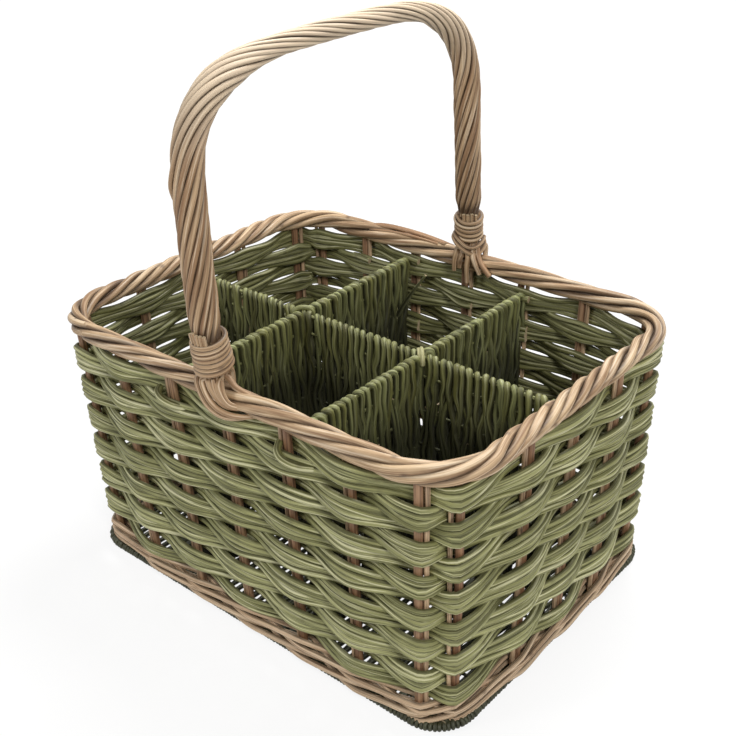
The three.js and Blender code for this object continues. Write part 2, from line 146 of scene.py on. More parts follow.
class WallRing:
    """The wall's middle line in millimetres, walked counter-clockwise from the left end of the front side."""

    CORNERS = np.array([[1, -1], [1, 1], [-1, 1], [-1, -1]], float)

    def __init__(self, sizes):
        self.half = np.array([sizes.rim_length, sizes.rim_width]) / 2
        self.corner = sizes.corner_radius
        self.inset = sizes.wall_inset
        self.height = sizes.rim_height
        self.sides = np.tile(2 * (self.half - self.corner), 2)
        self.corner_length = math.pi / 2 * self.corner
        self.starts = np.concatenate([[0], np.cumsum(self.sides + self.corner_length)])
        self.length = self.starts[-1]

    def place(self, distance):
        """Side, share of its straight part, and share of the turn of the corner after it."""
        rest = np.mod(distance, self.length)
        side = np.clip(np.searchsorted(self.starts, rest, side="right") - 1, 0, 3)
        past = rest - self.starts[side]
        straight = np.minimum(past, self.sides[side])
        return side, straight / self.sides[side], (past - straight) / self.corner_length

    def outward(self, distance):
        side, _, turn = self.place(np.asarray(distance, float))
        angle = math.pi / 2 * (side - 1 + turn)
        return np.stack([np.cos(angle), np.sin(angle), np.zeros_like(angle)], axis=-1)

    def points(self, distance, height, aside=0.0):
        """Points beside the wall: aside is measured outward from the middle line."""
        distance, height, aside = (np.array(a, float) for a in np.broadcast_arrays(distance, height, aside))
        side, share, _ = self.place(distance)
        reach = self.half - self.corner - self.inset * (1 - height[:, None] / self.height)
        start = self.CORNERS[(side + 3) % 4] * reach
        end = self.CORNERS[side] * reach
        centre = np.column_stack([start + (end - start) * share[:, None], height])
        return centre + self.outward(distance) * (self.corner + aside)[:, None]

    def depth(self, points):
        """How far points lie inside or outside the middle line, measured outward."""
        reach = self.half - self.corner - self.inset * (1 - points[:, 2:] / self.height)
        past = np.abs(points[:, :2]) - reach
        return np.linalg.norm(np.maximum(past, 0), axis=1) + np.minimum(past.max(axis=1), 0) - self.corner

    def stakes(self, sizes):
        """(distance, is_turned) of every stake. The two of a corner have their thin rods between them."""
        found = []
        for side, count in enumerate(SIDE_STAKES):
            middle = self.starts[side] + self.sides[side] / 2
            found += [(middle + (i - (count - 1) / 2) * sizes.stake_spacing, False) for i in range(count)]
            corner = self.starts[side] + self.sides[side] + self.corner_length / 2
            found += [(corner - sizes.corner_pair_before, True), (corner + sizes.corner_pair_after, False)]
        return found


DRIFT_SHARES, DRIFT_REACH = (1.0, 0.61, 0.37), 1.5


def wander(distance, size, wave, rng):
    """A slow random drift along a rod, from three sine waves of falling size and length."""
    drift = np.zeros_like(distance, dtype=float)
    for share in DRIFT_SHARES:
        drift += share * np.sin(FULL_TURN * distance / (wave * share) + rng.uniform(0, FULL_TURN))
    return size * drift / DRIFT_REACH


def ease(share):
    share = np.clip(share, 0, 1)
    return (1 - np.cos(math.pi * share)) / 2


def fade(value, start, end):
    """0 at start, 1 at end, with soft ends."""
    share = np.clip((value - start) / (end - start), 0, 1)
    return share**2 * (3 - 2 * share)


def smooth_path(points, step=2.0):
    """A dense curve through the points: centripetal Catmull-Rom, with its end points carried on straight."""
    points = np.asarray(points, float)
    ends = np.vstack([2 * points[0] - points[1], points, 2 * points[-1] - points[-2]])
    dense = []
    for a, b, c, d in zip(ends, ends[1:], ends[2:], ends[3:]):
        gaps = [max(np.linalg.norm(q - p), 1e-6) ** 0.5 for p, q in ((a, b), (b, c), (c, d))]
        leave = (b - a) / gaps[0] - (c - a) / (gaps[0] + gaps[1]) + (c - b) / gaps[1]
        arrive = (c - b) / gaps[1] - (d - b) / (gaps[1] + gaps[2]) + (d - c) / gaps[2]
        leave, arrive = leave * gaps[1], arrive * gaps[1]
        count = max(2, math.ceil(np.linalg.norm(c - b) / step))
        t = (np.arange(count) / count)[:, None]
        dense.append(
            b + leave * t + (3 * (c - b) - 2 * leave - arrive) * t**2 + (2 * (b - c) + leave + arrive) * t**3
        )
    return np.vstack(dense + [points[-1:]])


class Line:
    """A dense line with its length measured, so that a point can be asked for by its distance."""

    def __init__(self, points):
        self.points = points
        steps = np.linalg.norm(np.diff(points, axis=0), axis=1)
        self.at = np.concatenate([[0], np.cumsum(steps)])
        self.length = self.at[-1]

    def point(self, distance):
        return np.column_stack([np.interp(distance, self.at, self.points[:, k]) for k in range(3)])

    def travel(self, distance):
        way = self.point(np.minimum(distance + 1.0, self.length)) - self.point(np.maximum(distance - 1.0, 0))
        return way / np.linalg.norm(way, axis=1, keepdims=True)


# Node trees


class Tree:
    """Short ways to add nodes to a tree and to link them."""

    def __init__(self, tree):
        self.tree = tree

    def node(self, kind, inputs=None, **settings):
        made = self.tree.nodes.new(kind)
        for name, value in settings.items():
            setattr(made, name, value)
        for key, value in (inputs or {}).items():
            self.feed(value, made.inputs[key])
        return made

    def feed(self, value, socket):
        if isinstance(value, bpy.types.NodeSocket):
            self.tree.links.new(value, socket)
        elif isinstance(value, bpy.types.Node):
            self.tree.links.new(value.outputs[0], socket)
        else:
            socket.default_value = value

    def socket(self, name, kind, way="INPUT", default=None, low=None, high=None):
        made = self.tree.interface.new_socket(name, in_out=way, socket_type="NodeSocket" + kind)
        if default is not None:
            made.default_value = default
        if low is not None:
            made.min_value, made.max_value = low, high

    @staticmethod
    def live(sockets, name=None):
        """The first socket that is in use, of this name where one is given."""
        return next(socket for socket in sockets if socket.enabled and name in (None, socket.name))

    def math(self, operation, a, b=0.0, c=0.0, clamp=False):
        inputs = {0: a, 1: b, 2: c}
        return self.node("ShaderNodeMath", inputs, operation=operation, use_clamp=clamp).outputs[0]

    def vector_math(self, operation, a, b=(0, 0, 0), output=0):
        return self.node("ShaderNodeVectorMath", {0: a, 1: b}, operation=operation).outputs[output]

    def combine(self, x=0.0, y=0.0, z=0.0):
        return self.node("ShaderNodeCombineXYZ", {0: x, 1: y, 2: z}).outputs[0]

    def smooth_range(self, value, start, end):
        """0 at start and 1 at end, with soft ends."""
        inputs = {0: value, 1: start, 2: end}
        return self.node("ShaderNodeMapRange", inputs, interpolation_type="SMOOTHSTEP").outputs[0]

    def blend(self, share, first, second):
        mixed = self.node("ShaderNodeMix", data_type="RGBA")
        for value, index in ((share, 0), (first, 6), (second, 7)):
            self.feed(value, mixed.inputs[index])
        return mixed.outputs[2]

    def attribute(self, name, output="Fac"):
        """An attribute of the mesh, in a material."""
        return self.node("ShaderNodeAttribute", attribute_name=name).outputs[output]

    def object_place(self):
        return self.node("ShaderNodeTexCoord").outputs["Object"]

    def seen_directly(self):
        """1 where the camera, a reflection or a clear piece looks at the surface, 0 where it gives light."""
        rays = self.node("ShaderNodeLightPath").outputs
        seen = self.math("MAXIMUM", rays["Is Camera Ray"], rays["Is Glossy Ray"])
        return self.math("MAXIMUM", seen, rays["Is Transmission Ray"])

    def named(self, name, kind="FLOAT"):
        """An attribute of the geometry, in a Geometry Nodes tree."""
        return self.node("GeometryNodeInputNamedAttribute", {"Name": name}, data_type=kind).outputs[0]

    def keep(self, geometry, name, value, **settings):
        inputs = {"Geometry": geometry, "Name": name, "Value": value}
        return self.node("GeometryNodeStoreNamedAttribute", inputs, **settings)

    def random_value(self, seed, low=0.0, high=1.0):
        made = self.node("FunctionNodeRandomValue")
        for name, value in (("Min", low), ("Max", high), ("Seed", seed)):
            self.feed(value, self.live(made.inputs, name))
        return self.live(made.outputs)


def geometry_tree(name, inputs):
    """A Geometry Nodes tree with named inputs, each given by its kind, default, lowest and highest value."""
    made = Tree(bpy.data.node_groups.new(name, "GeometryNodeTree"))
    made.socket("Geometry", "Geometry")
    made.socket("Geometry", "Geometry", "OUTPUT")
    for key, (kind, *values) in inputs.items():
        made.socket(key, kind, "INPUT", *values)
    return made, made.node("NodeGroupInput").outputs


def round_profile(made, sides):
    """The rod's section: a circle that keeps on each point which way round the rod it lies."""
    circle = made.node("GeometryNodeCurvePrimitiveCircle", {"Resolution": sides, "Radius": 1.0})
    return made.keep(circle, "rod_around", made.node("GeometryNodeInputPosition"), data_type="FLOAT_VECTOR")


def swept_rods_tree():
    """Sweeps every path of a mesh of edges into a round rod with closed ends."""
    made, ins = geometry_tree("Rods Along Paths", {
        "Sides": ("Int", 8, 3, 24), "Unevenness": ("Float", 0.06, 0.0, 0.5),
        "Bump Length": ("Float", 0.014, 0.001, 1.0), "Seed": ("Int", 1, 0, 10000),
        "Bark": ("Material",), "Cut End": ("Material",),
    })
    tint_shift = 91.0  # moves the bumps along from rod to rod
    side_corners = 4  # a face with more corners closes an end
    curve = made.node("GeometryNodeMeshToCurve", {"Mesh": ins["Geometry"]})
    along = made.node("GeometryNodeSplineParameter").outputs["Length"]
    shift = made.math("MULTIPLY", made.named("rod_tint"), tint_shift)
    place = made.combine(made.math("DIVIDE", along, ins["Bump Length"]), shift, ins["Seed"])
    noise = made.node("ShaderNodeTexNoise", {"Vector": place, "Scale": 1.0, "Detail": 1.0})
    uneven = made.math("MULTIPLY", made.math("SUBTRACT", noise.outputs["Fac"], 0.5), ins["Unevenness"])
    rods = made.node("GeometryNodeCurveToMesh", {
        "Curve": made.keep(curve, "rod_along", along),
        "Profile Curve": round_profile(made, ins["Sides"]),
        "Scale": made.math("MULTIPLY", made.named("rod_radius"), made.math("MULTIPLY_ADD", uneven, 2.0, 1.0)),
        "Fill Caps": True,
    })
    is_cap = made.node("FunctionNodeCompare", data_type="INT", operation="GREATER_THAN")
    corners = made.node("GeometryNodeInputMeshFaceNeighbors").outputs["Vertex Count"]
    made.feed(corners, made.live(is_cap.inputs, "A"))
    made.feed(side_corners, made.live(is_cap.inputs, "B"))
    caps = is_cap.outputs[0]
    shading = {"Geometry": rods, "Selection": caps, "Shade Smooth": False}
    flat = made.node("GeometryNodeSetShadeSmooth", shading)
    real = made.node("GeometryNodeRealizeInstances", {"Geometry": flat})
    bark = made.node("GeometryNodeSetMaterial", {"Geometry": real, "Material": ins["Bark"]})
    cut = {"Geometry": bark, "Selection": caps, "Material": ins["Cut End"]}
    made.feed(made.node("GeometryNodeSetMaterial", cut), made.node("NodeGroupOutput").inputs[0])


def edge_loops_tree():
    """Sets one small loop of rod on each point of a line, turned to the side that the point faces."""
    made, ins = geometry_tree("Loops Round The Edge", {
        "Rod Radius": ("Float", 0.0016, 0.0001, 0.1), "Sides": ("Int", 6, 3, 24),
        "Size Change": ("Float", 0.08, 0.0, 1.0), "Turn Change": ("Float", 0.1, 0.0, 1.0),
        "Seed": ("Int", 1, 0, 10000), "Bark": ("Material",),
    })
    size_seed, tint_seed = 7.0, 13.0  # added to the seed, so that turn, size and tint differ
    selection = {"Geometry": ins["Geometry"], "Selection": made.named("is_loop", "BOOLEAN")}
    parts = made.node("GeometryNodeSeparateGeometry", selection, domain="POINT")
    path = made.node("GeometryNodeMeshToCurve", {"Mesh": parts.outputs["Selection"]})
    along = made.node("GeometryNodeSplineParameter").outputs["Length"]
    loop = made.node("GeometryNodeCurveToMesh", {
        "Curve": made.keep(path, "rod_along", along), "Profile Curve": round_profile(made, ins["Sides"]),
        "Scale": ins["Rod Radius"], "Fill Caps": True,
    })
    facing = made.named("facing", "FLOAT_VECTOR")
    aligned = made.node("FunctionNodeAlignRotationToVector", {"Vector": facing}, axis="X", pivot_axis="Z")
    turn = made.random_value(ins["Seed"], made.math("MULTIPLY", ins["Turn Change"], -1.0), ins["Turn Change"])
    turned = made.node("FunctionNodeRotateRotation", {0: aligned, 1: made.combine(z=turn)})
    size = made.random_value(
        made.math("ADD", ins["Seed"], size_seed), made.math("SUBTRACT", 1.0, ins["Size Change"]),
        made.math("ADD", 1.0, ins["Size Change"]),
    )
    placed = made.node("GeometryNodeInstanceOnPoints", {
        "Points": parts.outputs["Inverted"], "Instance": loop, "Rotation": turned,
        "Scale": made.combine(size, 1.0, size),
    })
    tint = made.random_value(made.math("ADD", ins["Seed"], tint_seed))
    tinted = made.keep(placed, "rod_tint", tint, domain="INSTANCE")
    real = made.node("GeometryNodeRealizeInstances", {"Geometry": tinted})
    bark = made.node("GeometryNodeSetMaterial", {"Geometry": real, "Material": ins["Bark"]})
    made.feed(bark, made.node("NodeGroupOutput").inputs[0])


# Materials


# Inputs of the bark: its tones, and how strong or how close together its marks are
# The crease tone is painted shade where rods touch, and the pale line is partly bark and partly painted
# highlight
BARK_TONES = {
    "Colour": (0.5, 0.35, 0.2, 1), "Other Rods": (0.4, 0.25, 0.12, 1), "Streak": (0.2, 0.12, 0.06, 1),
    "Pale Line": (0.7, 0.6, 0.4, 1), "Knot": (0.08, 0.04, 0.02, 1), "Crease": (0.03, 0.02, 0.01, 1),
}
# Foot Shade paints shade on a divider's foot, and the top light paints light on the handle's top, both by
# height
BARK_STRENGTHS = {
    "Tint Spread": 1.0, "Streak Strength": 0.5, "Pale Strength": 0.5, "Blotch Strength": 0.4,
    "Knot Strength": 0.7, "Knot Spacing": 0.045, "Streak Count": 4.0, "Foot Shade": 0.0, "Top Bleach": 0.0,
    "Crease Strength": 0.8,
}
# Values of the noise between which each mark of the bark comes up
STREAK_RANGE, PALE_RANGE, BLOTCH_RANGE = (0.49, 0.4), (0.555, 0.61), (0.35, 0.7)

# Heights in metres between which painted shade darkens the foot of a divider and painted light pales the top
# of the handle
FOOT_SHADE_RANGE, PAINTED_TOP_LIGHT_RANGE = (0.182, 0.118), (0.33, 0.385)
DARK_KNOT = (0.06, 0.03, 0.018, 1)
SHADED_FOOT = (0.012, 0.013, 0.005, 1)
BUMP_DEPTH, BUMP_LENGTH = 0.0004, 0.014  # metres

# Each willow: the colours of its rods, the tones of its streaks, pale lines and knots, and its other marks,
# among them painted shade in creases and at a divider's foot and painted light on the handle's top
WILLOWS = {
    "natural_willow": (
        ("natural", "natural_dark"), ((0.2, 0.1, 0.045, 1), (0.9, 0.76, 0.57, 1), DARK_KNOT),
        {"Streak Strength": 0.6, "Pale Strength": 0.45, "Blotch Strength": 0.6, "Knot Strength": 0.6,
         "Knot Spacing": 0.1, "Streak Count": 1.7, "Top Bleach": 0.6, "Crease Strength": 0.86,
         "Crease": (0.045, 0.022, 0.01, 1)},
    ),
    "green_willow": (
        ("green", "green_light"), ((0.06, 0.06, 0.018, 1), (0.7, 0.68, 0.43, 1), (0.07, 0.06, 0.025, 1)),
        {"Streak Strength": 0.7, "Pale Strength": 0.75, "Blotch Strength": 0.35, "Knot Strength": 0.4,
         "Streak Count": 1.9, "Crease": (0.035, 0.034, 0.01, 1)},
    ),
    "dark_green_willow": (
        ("divider", "divider_light"), ((0.04, 0.04, 0.012, 1), (0.42, 0.43, 0.24, 1), (0.08, 0.06, 0.02, 1)),
        {"Streak Strength": 0.7, "Pale Strength": 0.5, "Blotch Strength": 0.5, "Knot Strength": 0.5,
         "Streak Count": 1.9, "Foot Shade": 0.88, "Crease": (0.012, 0.012, 0.004, 1)},
    ),
    "brown_willow": (
        ("stake", "thin_stake"), ((0.06, 0.026, 0.014, 1), (0.5, 0.32, 0.2, 1), (0.04, 0.02, 0.012, 1)),
        {"Streak Strength": 0.6, "Pale Strength": 0.3, "Blotch Strength": 0.5, "Knot Strength": 0.6,
         "Streak Count": 2.6},
    ),
    "wale_willow": (
        ("wale", "wale_dark"), ((0.16, 0.075, 0.03, 1), (0.9, 0.75, 0.56, 1), DARK_KNOT),
        {"Streak Strength": 0.55, "Pale Strength": 0.45, "Blotch Strength": 0.35, "Knot Strength": 0.5,
         "Knot Spacing": 0.1, "Streak Count": 3.0},
    ),
    "pale_green_willow": (
        ("green_light", "pith"), ((0.2, 0.2, 0.1, 1), (0.65, 0.66, 0.52, 1), DARK_KNOT),
        {"Tint Spread": 0.35, "Streak Strength": 0.5, "Pale Strength": 0.6, "Blotch Strength": 0.3,
         "Knot Strength": 0.2, "Streak Count": 3.0},
    ),
}


def bark_group():
    """Willow bark: streaks along the rod, slow blotches, knots and each rod's own tint, with painted shade in
    the creases and at a divider's foot, painted light on the handle's top, and pale lines that are partly
    painted highlight.
    """
    made = Tree(bpy.data.node_groups.new("Willow Bark", "ShaderNodeTree"))
    for name, default in BARK_TONES.items():
        made.socket(name, "Color", default=default)
    for name, default in BARK_STRENGTHS.items():
        made.socket(name, "Float", default=default, low=0.0, high=100.0)
    for name, kind in (("Colour", "Color"), ("Roughness", "Float"), ("Height", "Float")):
        made.socket(name, kind, "OUTPUT")
    ins = made.node("NodeGroupInput").outputs
    along = made.attribute("rod_along")
    around = made.attribute("rod_around", "Vector")
    tint = made.attribute("rod_tint")
    offset = made.math("MULTIPLY", tint, 53.0)  # moves the marks along from rod to rod
    sides = made.node("ShaderNodeSeparateXYZ", {0: around}).outputs

    def noise(around_scale, along_scale, detail):
        place = made.combine(
            made.math("MULTIPLY", sides[0], around_scale), made.math("MULTIPLY", sides[1], around_scale),
            made.math("MULTIPLY_ADD", along, along_scale, offset),
        )
        inputs = {"Vector": place, "Scale": 1.0, "Detail": detail, "Roughness": 0.6}
        return made.node("ShaderNodeTexNoise", inputs).outputs["Fac"]

    grain = noise(ins["Streak Count"], 14.0, 3.0)
    streaks = made.smooth_range(grain, *STREAK_RANGE)
    # Pale lines along the grain: partly the bark's own, partly painted highlight along the rods
    pale_grain_and_highlight = made.smooth_range(grain, *PALE_RANGE)
    blotches = made.smooth_range(noise(0.7, 26.0, 2.0), *BLOTCH_RANGE)
    knot = knots(made, ins["Knot Spacing"], along, around, offset)
    rise = made.node("ShaderNodeSeparateXYZ", {0: made.object_place()}).outputs[2]
    # Painted shade: the foot of a divider darkens, by height
    foot = made.smooth_range(rise, *FOOT_SHADE_RANGE)
    # Painted light: the top of the handle pales towards the pale-line tone, by height
    top = made.smooth_range(rise, *PAINTED_TOP_LIGHT_RANGE)
    tinted = made.math("MULTIPLY", tint, ins["Tint Spread"], clamp=True)
    colour = made.blend(tinted, ins["Colour"], ins["Other Rods"])
    # Blotches, streaks and knots are the bark's own; the pale lines are partly painted highlight; the foot
    # and crease masks paint shade and the top mask paints light
    for mask, strength, tone in (
        (blotches, "Blotch Strength", ins["Streak"]),
        (streaks, "Streak Strength", ins["Streak"]),
        (pale_grain_and_highlight, "Pale Strength", ins["Pale Line"]),
        (knot, "Knot Strength", ins["Knot"]),
        (foot, "Foot Shade", SHADED_FOOT),
        (top, "Top Bleach", ins["Pale Line"]),
        (made.attribute("rod_crease"), "Crease Strength", ins["Crease"]),
    ):
        colour = made.blend(made.math("MULTIPLY", mask, ins[strength]), colour, tone)
    out = made.node("NodeGroupOutput").inputs
    made.feed(colour, out["Colour"])
    made.feed(made.math("MULTIPLY_ADD", streaks, 0.16, 0.52), out["Roughness"])
    raised = made.math("MULTIPLY", knot, 0.9)
    made.feed(made.math("SUBTRACT", raised, made.math("MULTIPLY", streaks, 0.35)), out["Height"])


def knots(made, spacing, along, around, offset):
    """Small buds, one in each stretch of rod, each on a side of its own."""
    bud_half_length = 0.0034  # metres
    way = made.math("ADD", made.math("DIVIDE", along, spacing), offset)
    cells = made.node("ShaderNodeTexVoronoi", {"W": way, "Scale": 1.0}, voronoi_dimensions="1D").outputs
    bud = made.smooth_range(made.math("MULTIPLY", cells["Distance"], spacing), bud_half_length, 0.0)
    way_out = made.vector_math("SUBTRACT", cells["Color"], (0.5, 0.5, 0.5))
    way_out = made.vector_math("NORMALIZE", made.vector_math("MULTIPLY", way_out, (1, 1, 0)))
    side = made.smooth_range(made.vector_math("DOT_PRODUCT", way_out, around, output=1), 0.6, 1.0)
    return made.math("MULTIPLY", bud, side)


def new_material(name):
    material = bpy.data.materials.new(name)
    material.use_nodes = True
    return material, Tree(material.node_tree), material.node_tree.nodes["Principled BSDF"]


def raise_bumps(made, shader, strength, height):
    bumped = made.node("ShaderNodeBump", {"Strength": strength, "Distance": BUMP_DEPTH, "Height": height})
    made.feed(bumped, shader.inputs["Normal"])


def willow(name, colours, tones, strengths):
    """A willow material: the bark group feeds the shader's colour, roughness and bump."""
    material, made, shader = new_material(name + "_bark")
    group = made.node("ShaderNodeGroup", node_tree=bpy.data.node_groups["Willow Bark"])
    values = dict(zip(("Colour", "Other Rods"), map(pick, colours)))
    values.update(zip(("Streak", "Pale Line", "Knot"), tones))
    for key, value in {**values, **strengths}.items():
        group.inputs[key].default_value = value
    made.feed(group.outputs["Colour"], shader.inputs["Base Color"])
    made.feed(group.outputs["Roughness"], shader.inputs["Roughness"])
    raise_bumps(made, shader, 0.4, group.outputs["Height"])
    material.diffuse_color = values["Colour"]


def grained_wood(name, tones, scale, detail, roughness, bump=0.0):
    """A material for faces without rod attributes: two tones in a grain on Object coordinates."""
    _, made, shader = new_material(name)
    inputs = {"Vector": made.object_place(), "Scale": scale, "Detail": detail}
    grain = made.node("ShaderNodeTexNoise", inputs).outputs["Fac"]
    made.feed(made.blend(grain, *tones), shader.inputs["Base Color"])
    shader.inputs["Roughness"].default_value = roughness
    if bump:
        raise_bumps(made, shader, bump, grain)


def make_materials():
    bark_group()
    for name, values in WILLOWS.items():
        willow(name, *values)
    pith = pick("pith")
    darker_pith = tuple(0.7 * c for c in pith[:3]) + (1.0,)
    grained_wood("willow_pith", (pith, darker_pith), scale=900.0, detail=2.0, roughness=0.7)
    core = (pick("stake"), pick("natural_dark"))
    grained_wood("plain_brown_willow", core, scale=260.0, detail=3.0, roughness=0.6, bump=0.3)


# Rods


class Rods:
    """The rods of one piece: paths in millimetres, with a radius along the way and a tint from 0 to 1."""

    def __init__(self):
        self.points, self.radii, self.tints, self.edges = [], [], [], []
        self.count = 0

    def add(self, path, radius, tint, is_ring=False):
        size = len(path)
        ids = np.arange(size) + self.count
        pairs = np.column_stack([ids[:-1], ids[1:]])
        if is_ring:
            pairs = np.vstack([pairs, [ids[-1], ids[0]]])
        self.points.append(np.asarray(path, float))
        self.radii.append(np.broadcast_to(np.asarray(radius, float), (size,)))
        self.tints.append(np.full(size, float(tint)))
        self.edges.append(pairs)
        self.count += size

    def mesh(self, name):
        made = bpy.data.meshes.new(name)
        points = np.vstack(self.points) * MM
        made.from_pydata(points.tolist(), np.vstack(self.edges).tolist(), [])
        for key, values, unit in (("rod_radius", self.radii, MM), ("rod_tint", self.tints, 1.0)):
            made.attributes.new(key, "FLOAT", "POINT").data.foreach_set(
                "value", (np.concatenate(values) * unit).astype(np.float32)
            )
        return made


def run_tree(name, mesh, tree_name, inputs):
    """Runs a Geometry Nodes tree on a mesh and keeps its result as a plain mesh object."""
    source = bpy.data.objects.new(name + "_paths", mesh)
    bpy.context.scene.collection.objects.link(source)
    modifier = source.modifiers.new("rods", "NODES")
    tree = bpy.data.node_groups[tree_name]
    modifier.node_group = tree
    ids = {item.name: item.identifier for item in tree.interface.items_tree if item.in_out == "INPUT"}
    for key, value in inputs.items():
        modifier[ids[key]] = value
    bpy.context.view_layer.update()
    graph = bpy.context.evaluated_depsgraph_get()
    result = bpy.data.meshes.new_from_object(source.evaluated_get(graph), depsgraph=graph)
    result.name = name
    piece = bpy.data.objects.new(name, result)
    source.modifiers.clear()
    bpy.data.objects.remove(source)
    bpy.data.meshes.remove(mesh)
    bpy.context.scene.collection.objects.link(piece)
    if "rod_radius" in result.attributes:
        result.attributes.remove(result.attributes["rod_radius"])
    return piece


def mark_creases(piece, darkness):
    """Keeps on every point how deep it lies between two rods, from 0 to 1, for the bark to darken it with
    painted shade.
    """
    mesh = piece.data
    found = {}
    for kind in ("co", "normal"):
        found[kind] = np.empty(3 * len(mesh.vertices), np.float32)
        mesh.vertices.foreach_get(kind, found[kind])
    values = darkness(found["co"].reshape(-1, 3) / MM, found["normal"].reshape(-1, 3))
    mesh.attributes.new("rod_crease", "FLOAT", "POINT").data.foreach_set("value", values.astype(np.float32))


def between_rows(points, normals):
    """Rods laid one above the other touch where they face up or down, and the bark paints shade there."""
    return fade(np.abs(normals[:, 2]), 0.72, 1.0)


# Past these distances from the middle along X and Y, points belong to the walls that face that way
STRAIGHT_WALL = (110, 85)
# How dark the painted shade on the inner side of the wall gets
INNER_DARKNESS = 0.42


def inside_rows(points, normals):
    """The rods of the wall get painted shade on their inner side too, besides where they touch."""
    beside_wall = np.abs(points[:, :2]) > STRAIGHT_WALL
    inward = -(normals[:, :2] * np.sign(points[:, :2]) * beside_wall).sum(axis=1)
    return np.maximum(between_rows(points, normals), INNER_DARKNESS * fade(inward, 0.1, 0.7))


def lay_piece(name, rods, bark, seed, nodes, sides, uneven=0.06, creases=None):
    """Makes a piece from its rods, and puts it in the frame in place of the CAD nodes."""
    piece = run_tree(name, rods.mesh(name + "_paths"), "Rods Along Paths", {
        "Sides": sides, "Unevenness": uneven, "Bump Length": BUMP_LENGTH, "Seed": seed,
        "Bark": bpy.data.materials[bark + "_bark"], "Cut End": bpy.data.materials["willow_pith"],
    })
    if creases:
        mark_creases(piece, creases)
    place_piece(piece, nodes)


def place_piece(piece, nodes):
    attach(piece, "root")
    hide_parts(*nodes)


# Pieces of the wall


# The two rods of a stake: how far each stands aside and leans, and its ranges of thickness and tint
STAKE_FOOT, STAKE_TOP_DROP = 6.0, 4.0
STAKE_PAIR = (
    SimpleNamespace(size="stake_radius", aside=1.6, lean=1.4, thickness=(0.95, 1.03), tint=(0.0, 0.3)),
    SimpleNamespace(size="thin_stake_radius", aside=-2.6, lean=-0.8, thickness=(1.0, 1.15), tint=(0.85, 1.0)),
)


def lay_stakes(sizes, ring):
    """Each stake is a thick rod with a thin one beside it, and the two lean apart on their way up."""
    heights = np.arange(STAKE_FOOT, sizes.rim_height - STAKE_TOP_DROP + 1, 4.0)
    share = (heights - STAKE_FOOT) / (sizes.rim_height - STAKE_TOP_DROP - STAKE_FOOT)
    rng = np.random.default_rng(11)
    for node, (distance, is_turned) in zip(STAKE_NODES, ring.stakes(sizes)):
        rods = Rods()
        ahead = np.cross([0, 0, 1], ring.outward(distance)) * (-1 if is_turned else 1)
        pair = [
            (rod.aside, rod.lean * rng.uniform(0, 1), getattr(sizes, rod.size) * rng.uniform(*rod.thickness),
             rng.uniform(*rod.tint))
            for rod in STAKE_PAIR
        ]
        for aside, lean, radius, tint in pair:
            shift = aside + lean * share + wander(heights, 0.25, 160, rng)
            path = ring.points(np.full_like(heights, distance), heights, wander(heights, 0.2, 120, rng))
            rods.add(path + ahead * shift[:, None], radius, tint)
        lay_piece(node.replace("stake", "willow_stake"), rods, "brown_willow", 11, [node], sides=10)


class StakeSwing:
    """How far a round of weaving swings in and out as it passes the stakes."""

    def __init__(self, ring, sizes, gap):
        found = ring.stakes(sizes)
        self.ring = ring
        self.at = np.array([distance for distance, _ in found])
        self.reach = sizes.stake_radius + gap
        self.count = len(found)

    def span(self, distance):
        """Stake before each distance, the one after it, and the share of the way between them."""
        rest = np.mod(distance, self.ring.length)
        here = np.searchsorted(self.at, rest, side="right") - 1
        here = np.where(here < 0, self.count - 1, here)
        after = (here + 1) % self.count
        span = np.mod(self.at[after] - self.at[here], self.ring.length)
        past = np.mod(rest - self.at[here], self.ring.length)
        return here, after, past / span

    def taut(self, distance, height, aside):
        """Points beside the wall, where a rod is pulled nearly straight from each stake to the next."""
        tautness = 0.85
        here, after, share = self.span(distance)
        bend = self.ring.points(distance, height)
        straight = (1 - share[:, None]) * self.ring.points(self.at[here], height)
        straight += share[:, None] * self.ring.points(self.at[after], height)
        return self.ring.points(distance, height, aside) + tautness * (straight - bend)


# A green row: its rods, the spacing of their middles midway between two stakes and what is added at a stake,
# the ranges of their thickness, and how far in and for how long a rod's first end lies behind the weave
ROW = SimpleNamespace(
    rods=4, gap=0.2, step=3.4, lead=9, overlap=20, spacing=2.9, spread=1.45, crossing=0.9, taper=(1.08, 0.88),
    thickness=(0.93, 1.05), tuck=3.2, tuck_length=26,
)
LOW_ROW_THICKNESS = 0.84  # a share of the rows' rods
LOW_ROW_SPREAD = (0.9, 0.2)  # the spacing's share midway between two stakes, and what is added at a stake

# Distance round the wall, height of the middle of the row below the first one, and the spacing of its rods
LOW_ROW = np.array([
    (0, 23.6, 2.2), (60, 25.2, 2.2), (130, 27.2, 2.2), (245, 27.0, 2.4), (285, 26.4, 3.4), (315, 26.2, 3.6),
    (345, 25.6, 2.6), (500, 25.2, 2.4), (700, 26.5, 2.3), (950, 25.5, 2.3), (1100, 23.8, 2.3),
    (1134, 23.6, 2.2),
])

# Ends of green rods that are hooked round two stakes just below the border, as points
HOOK_THICKNESS = 1.1  # a share of the rows' rods
HOOKED_ENDS = (
    [(-61, -129, 173.5), (-56.5, -134.8, 173.2), (-50.5, -136.8, 171.6), (-43.5, -135, 169),
     (-36, -129, 166)],
    [(48, -129, 173.5), (51.6, -134.6, 172.0), (56, -136.8, 169.6), (62, -136.2, 167.6), (69, -133.4, 166.2),
     (75, -128.5, 165)],
)


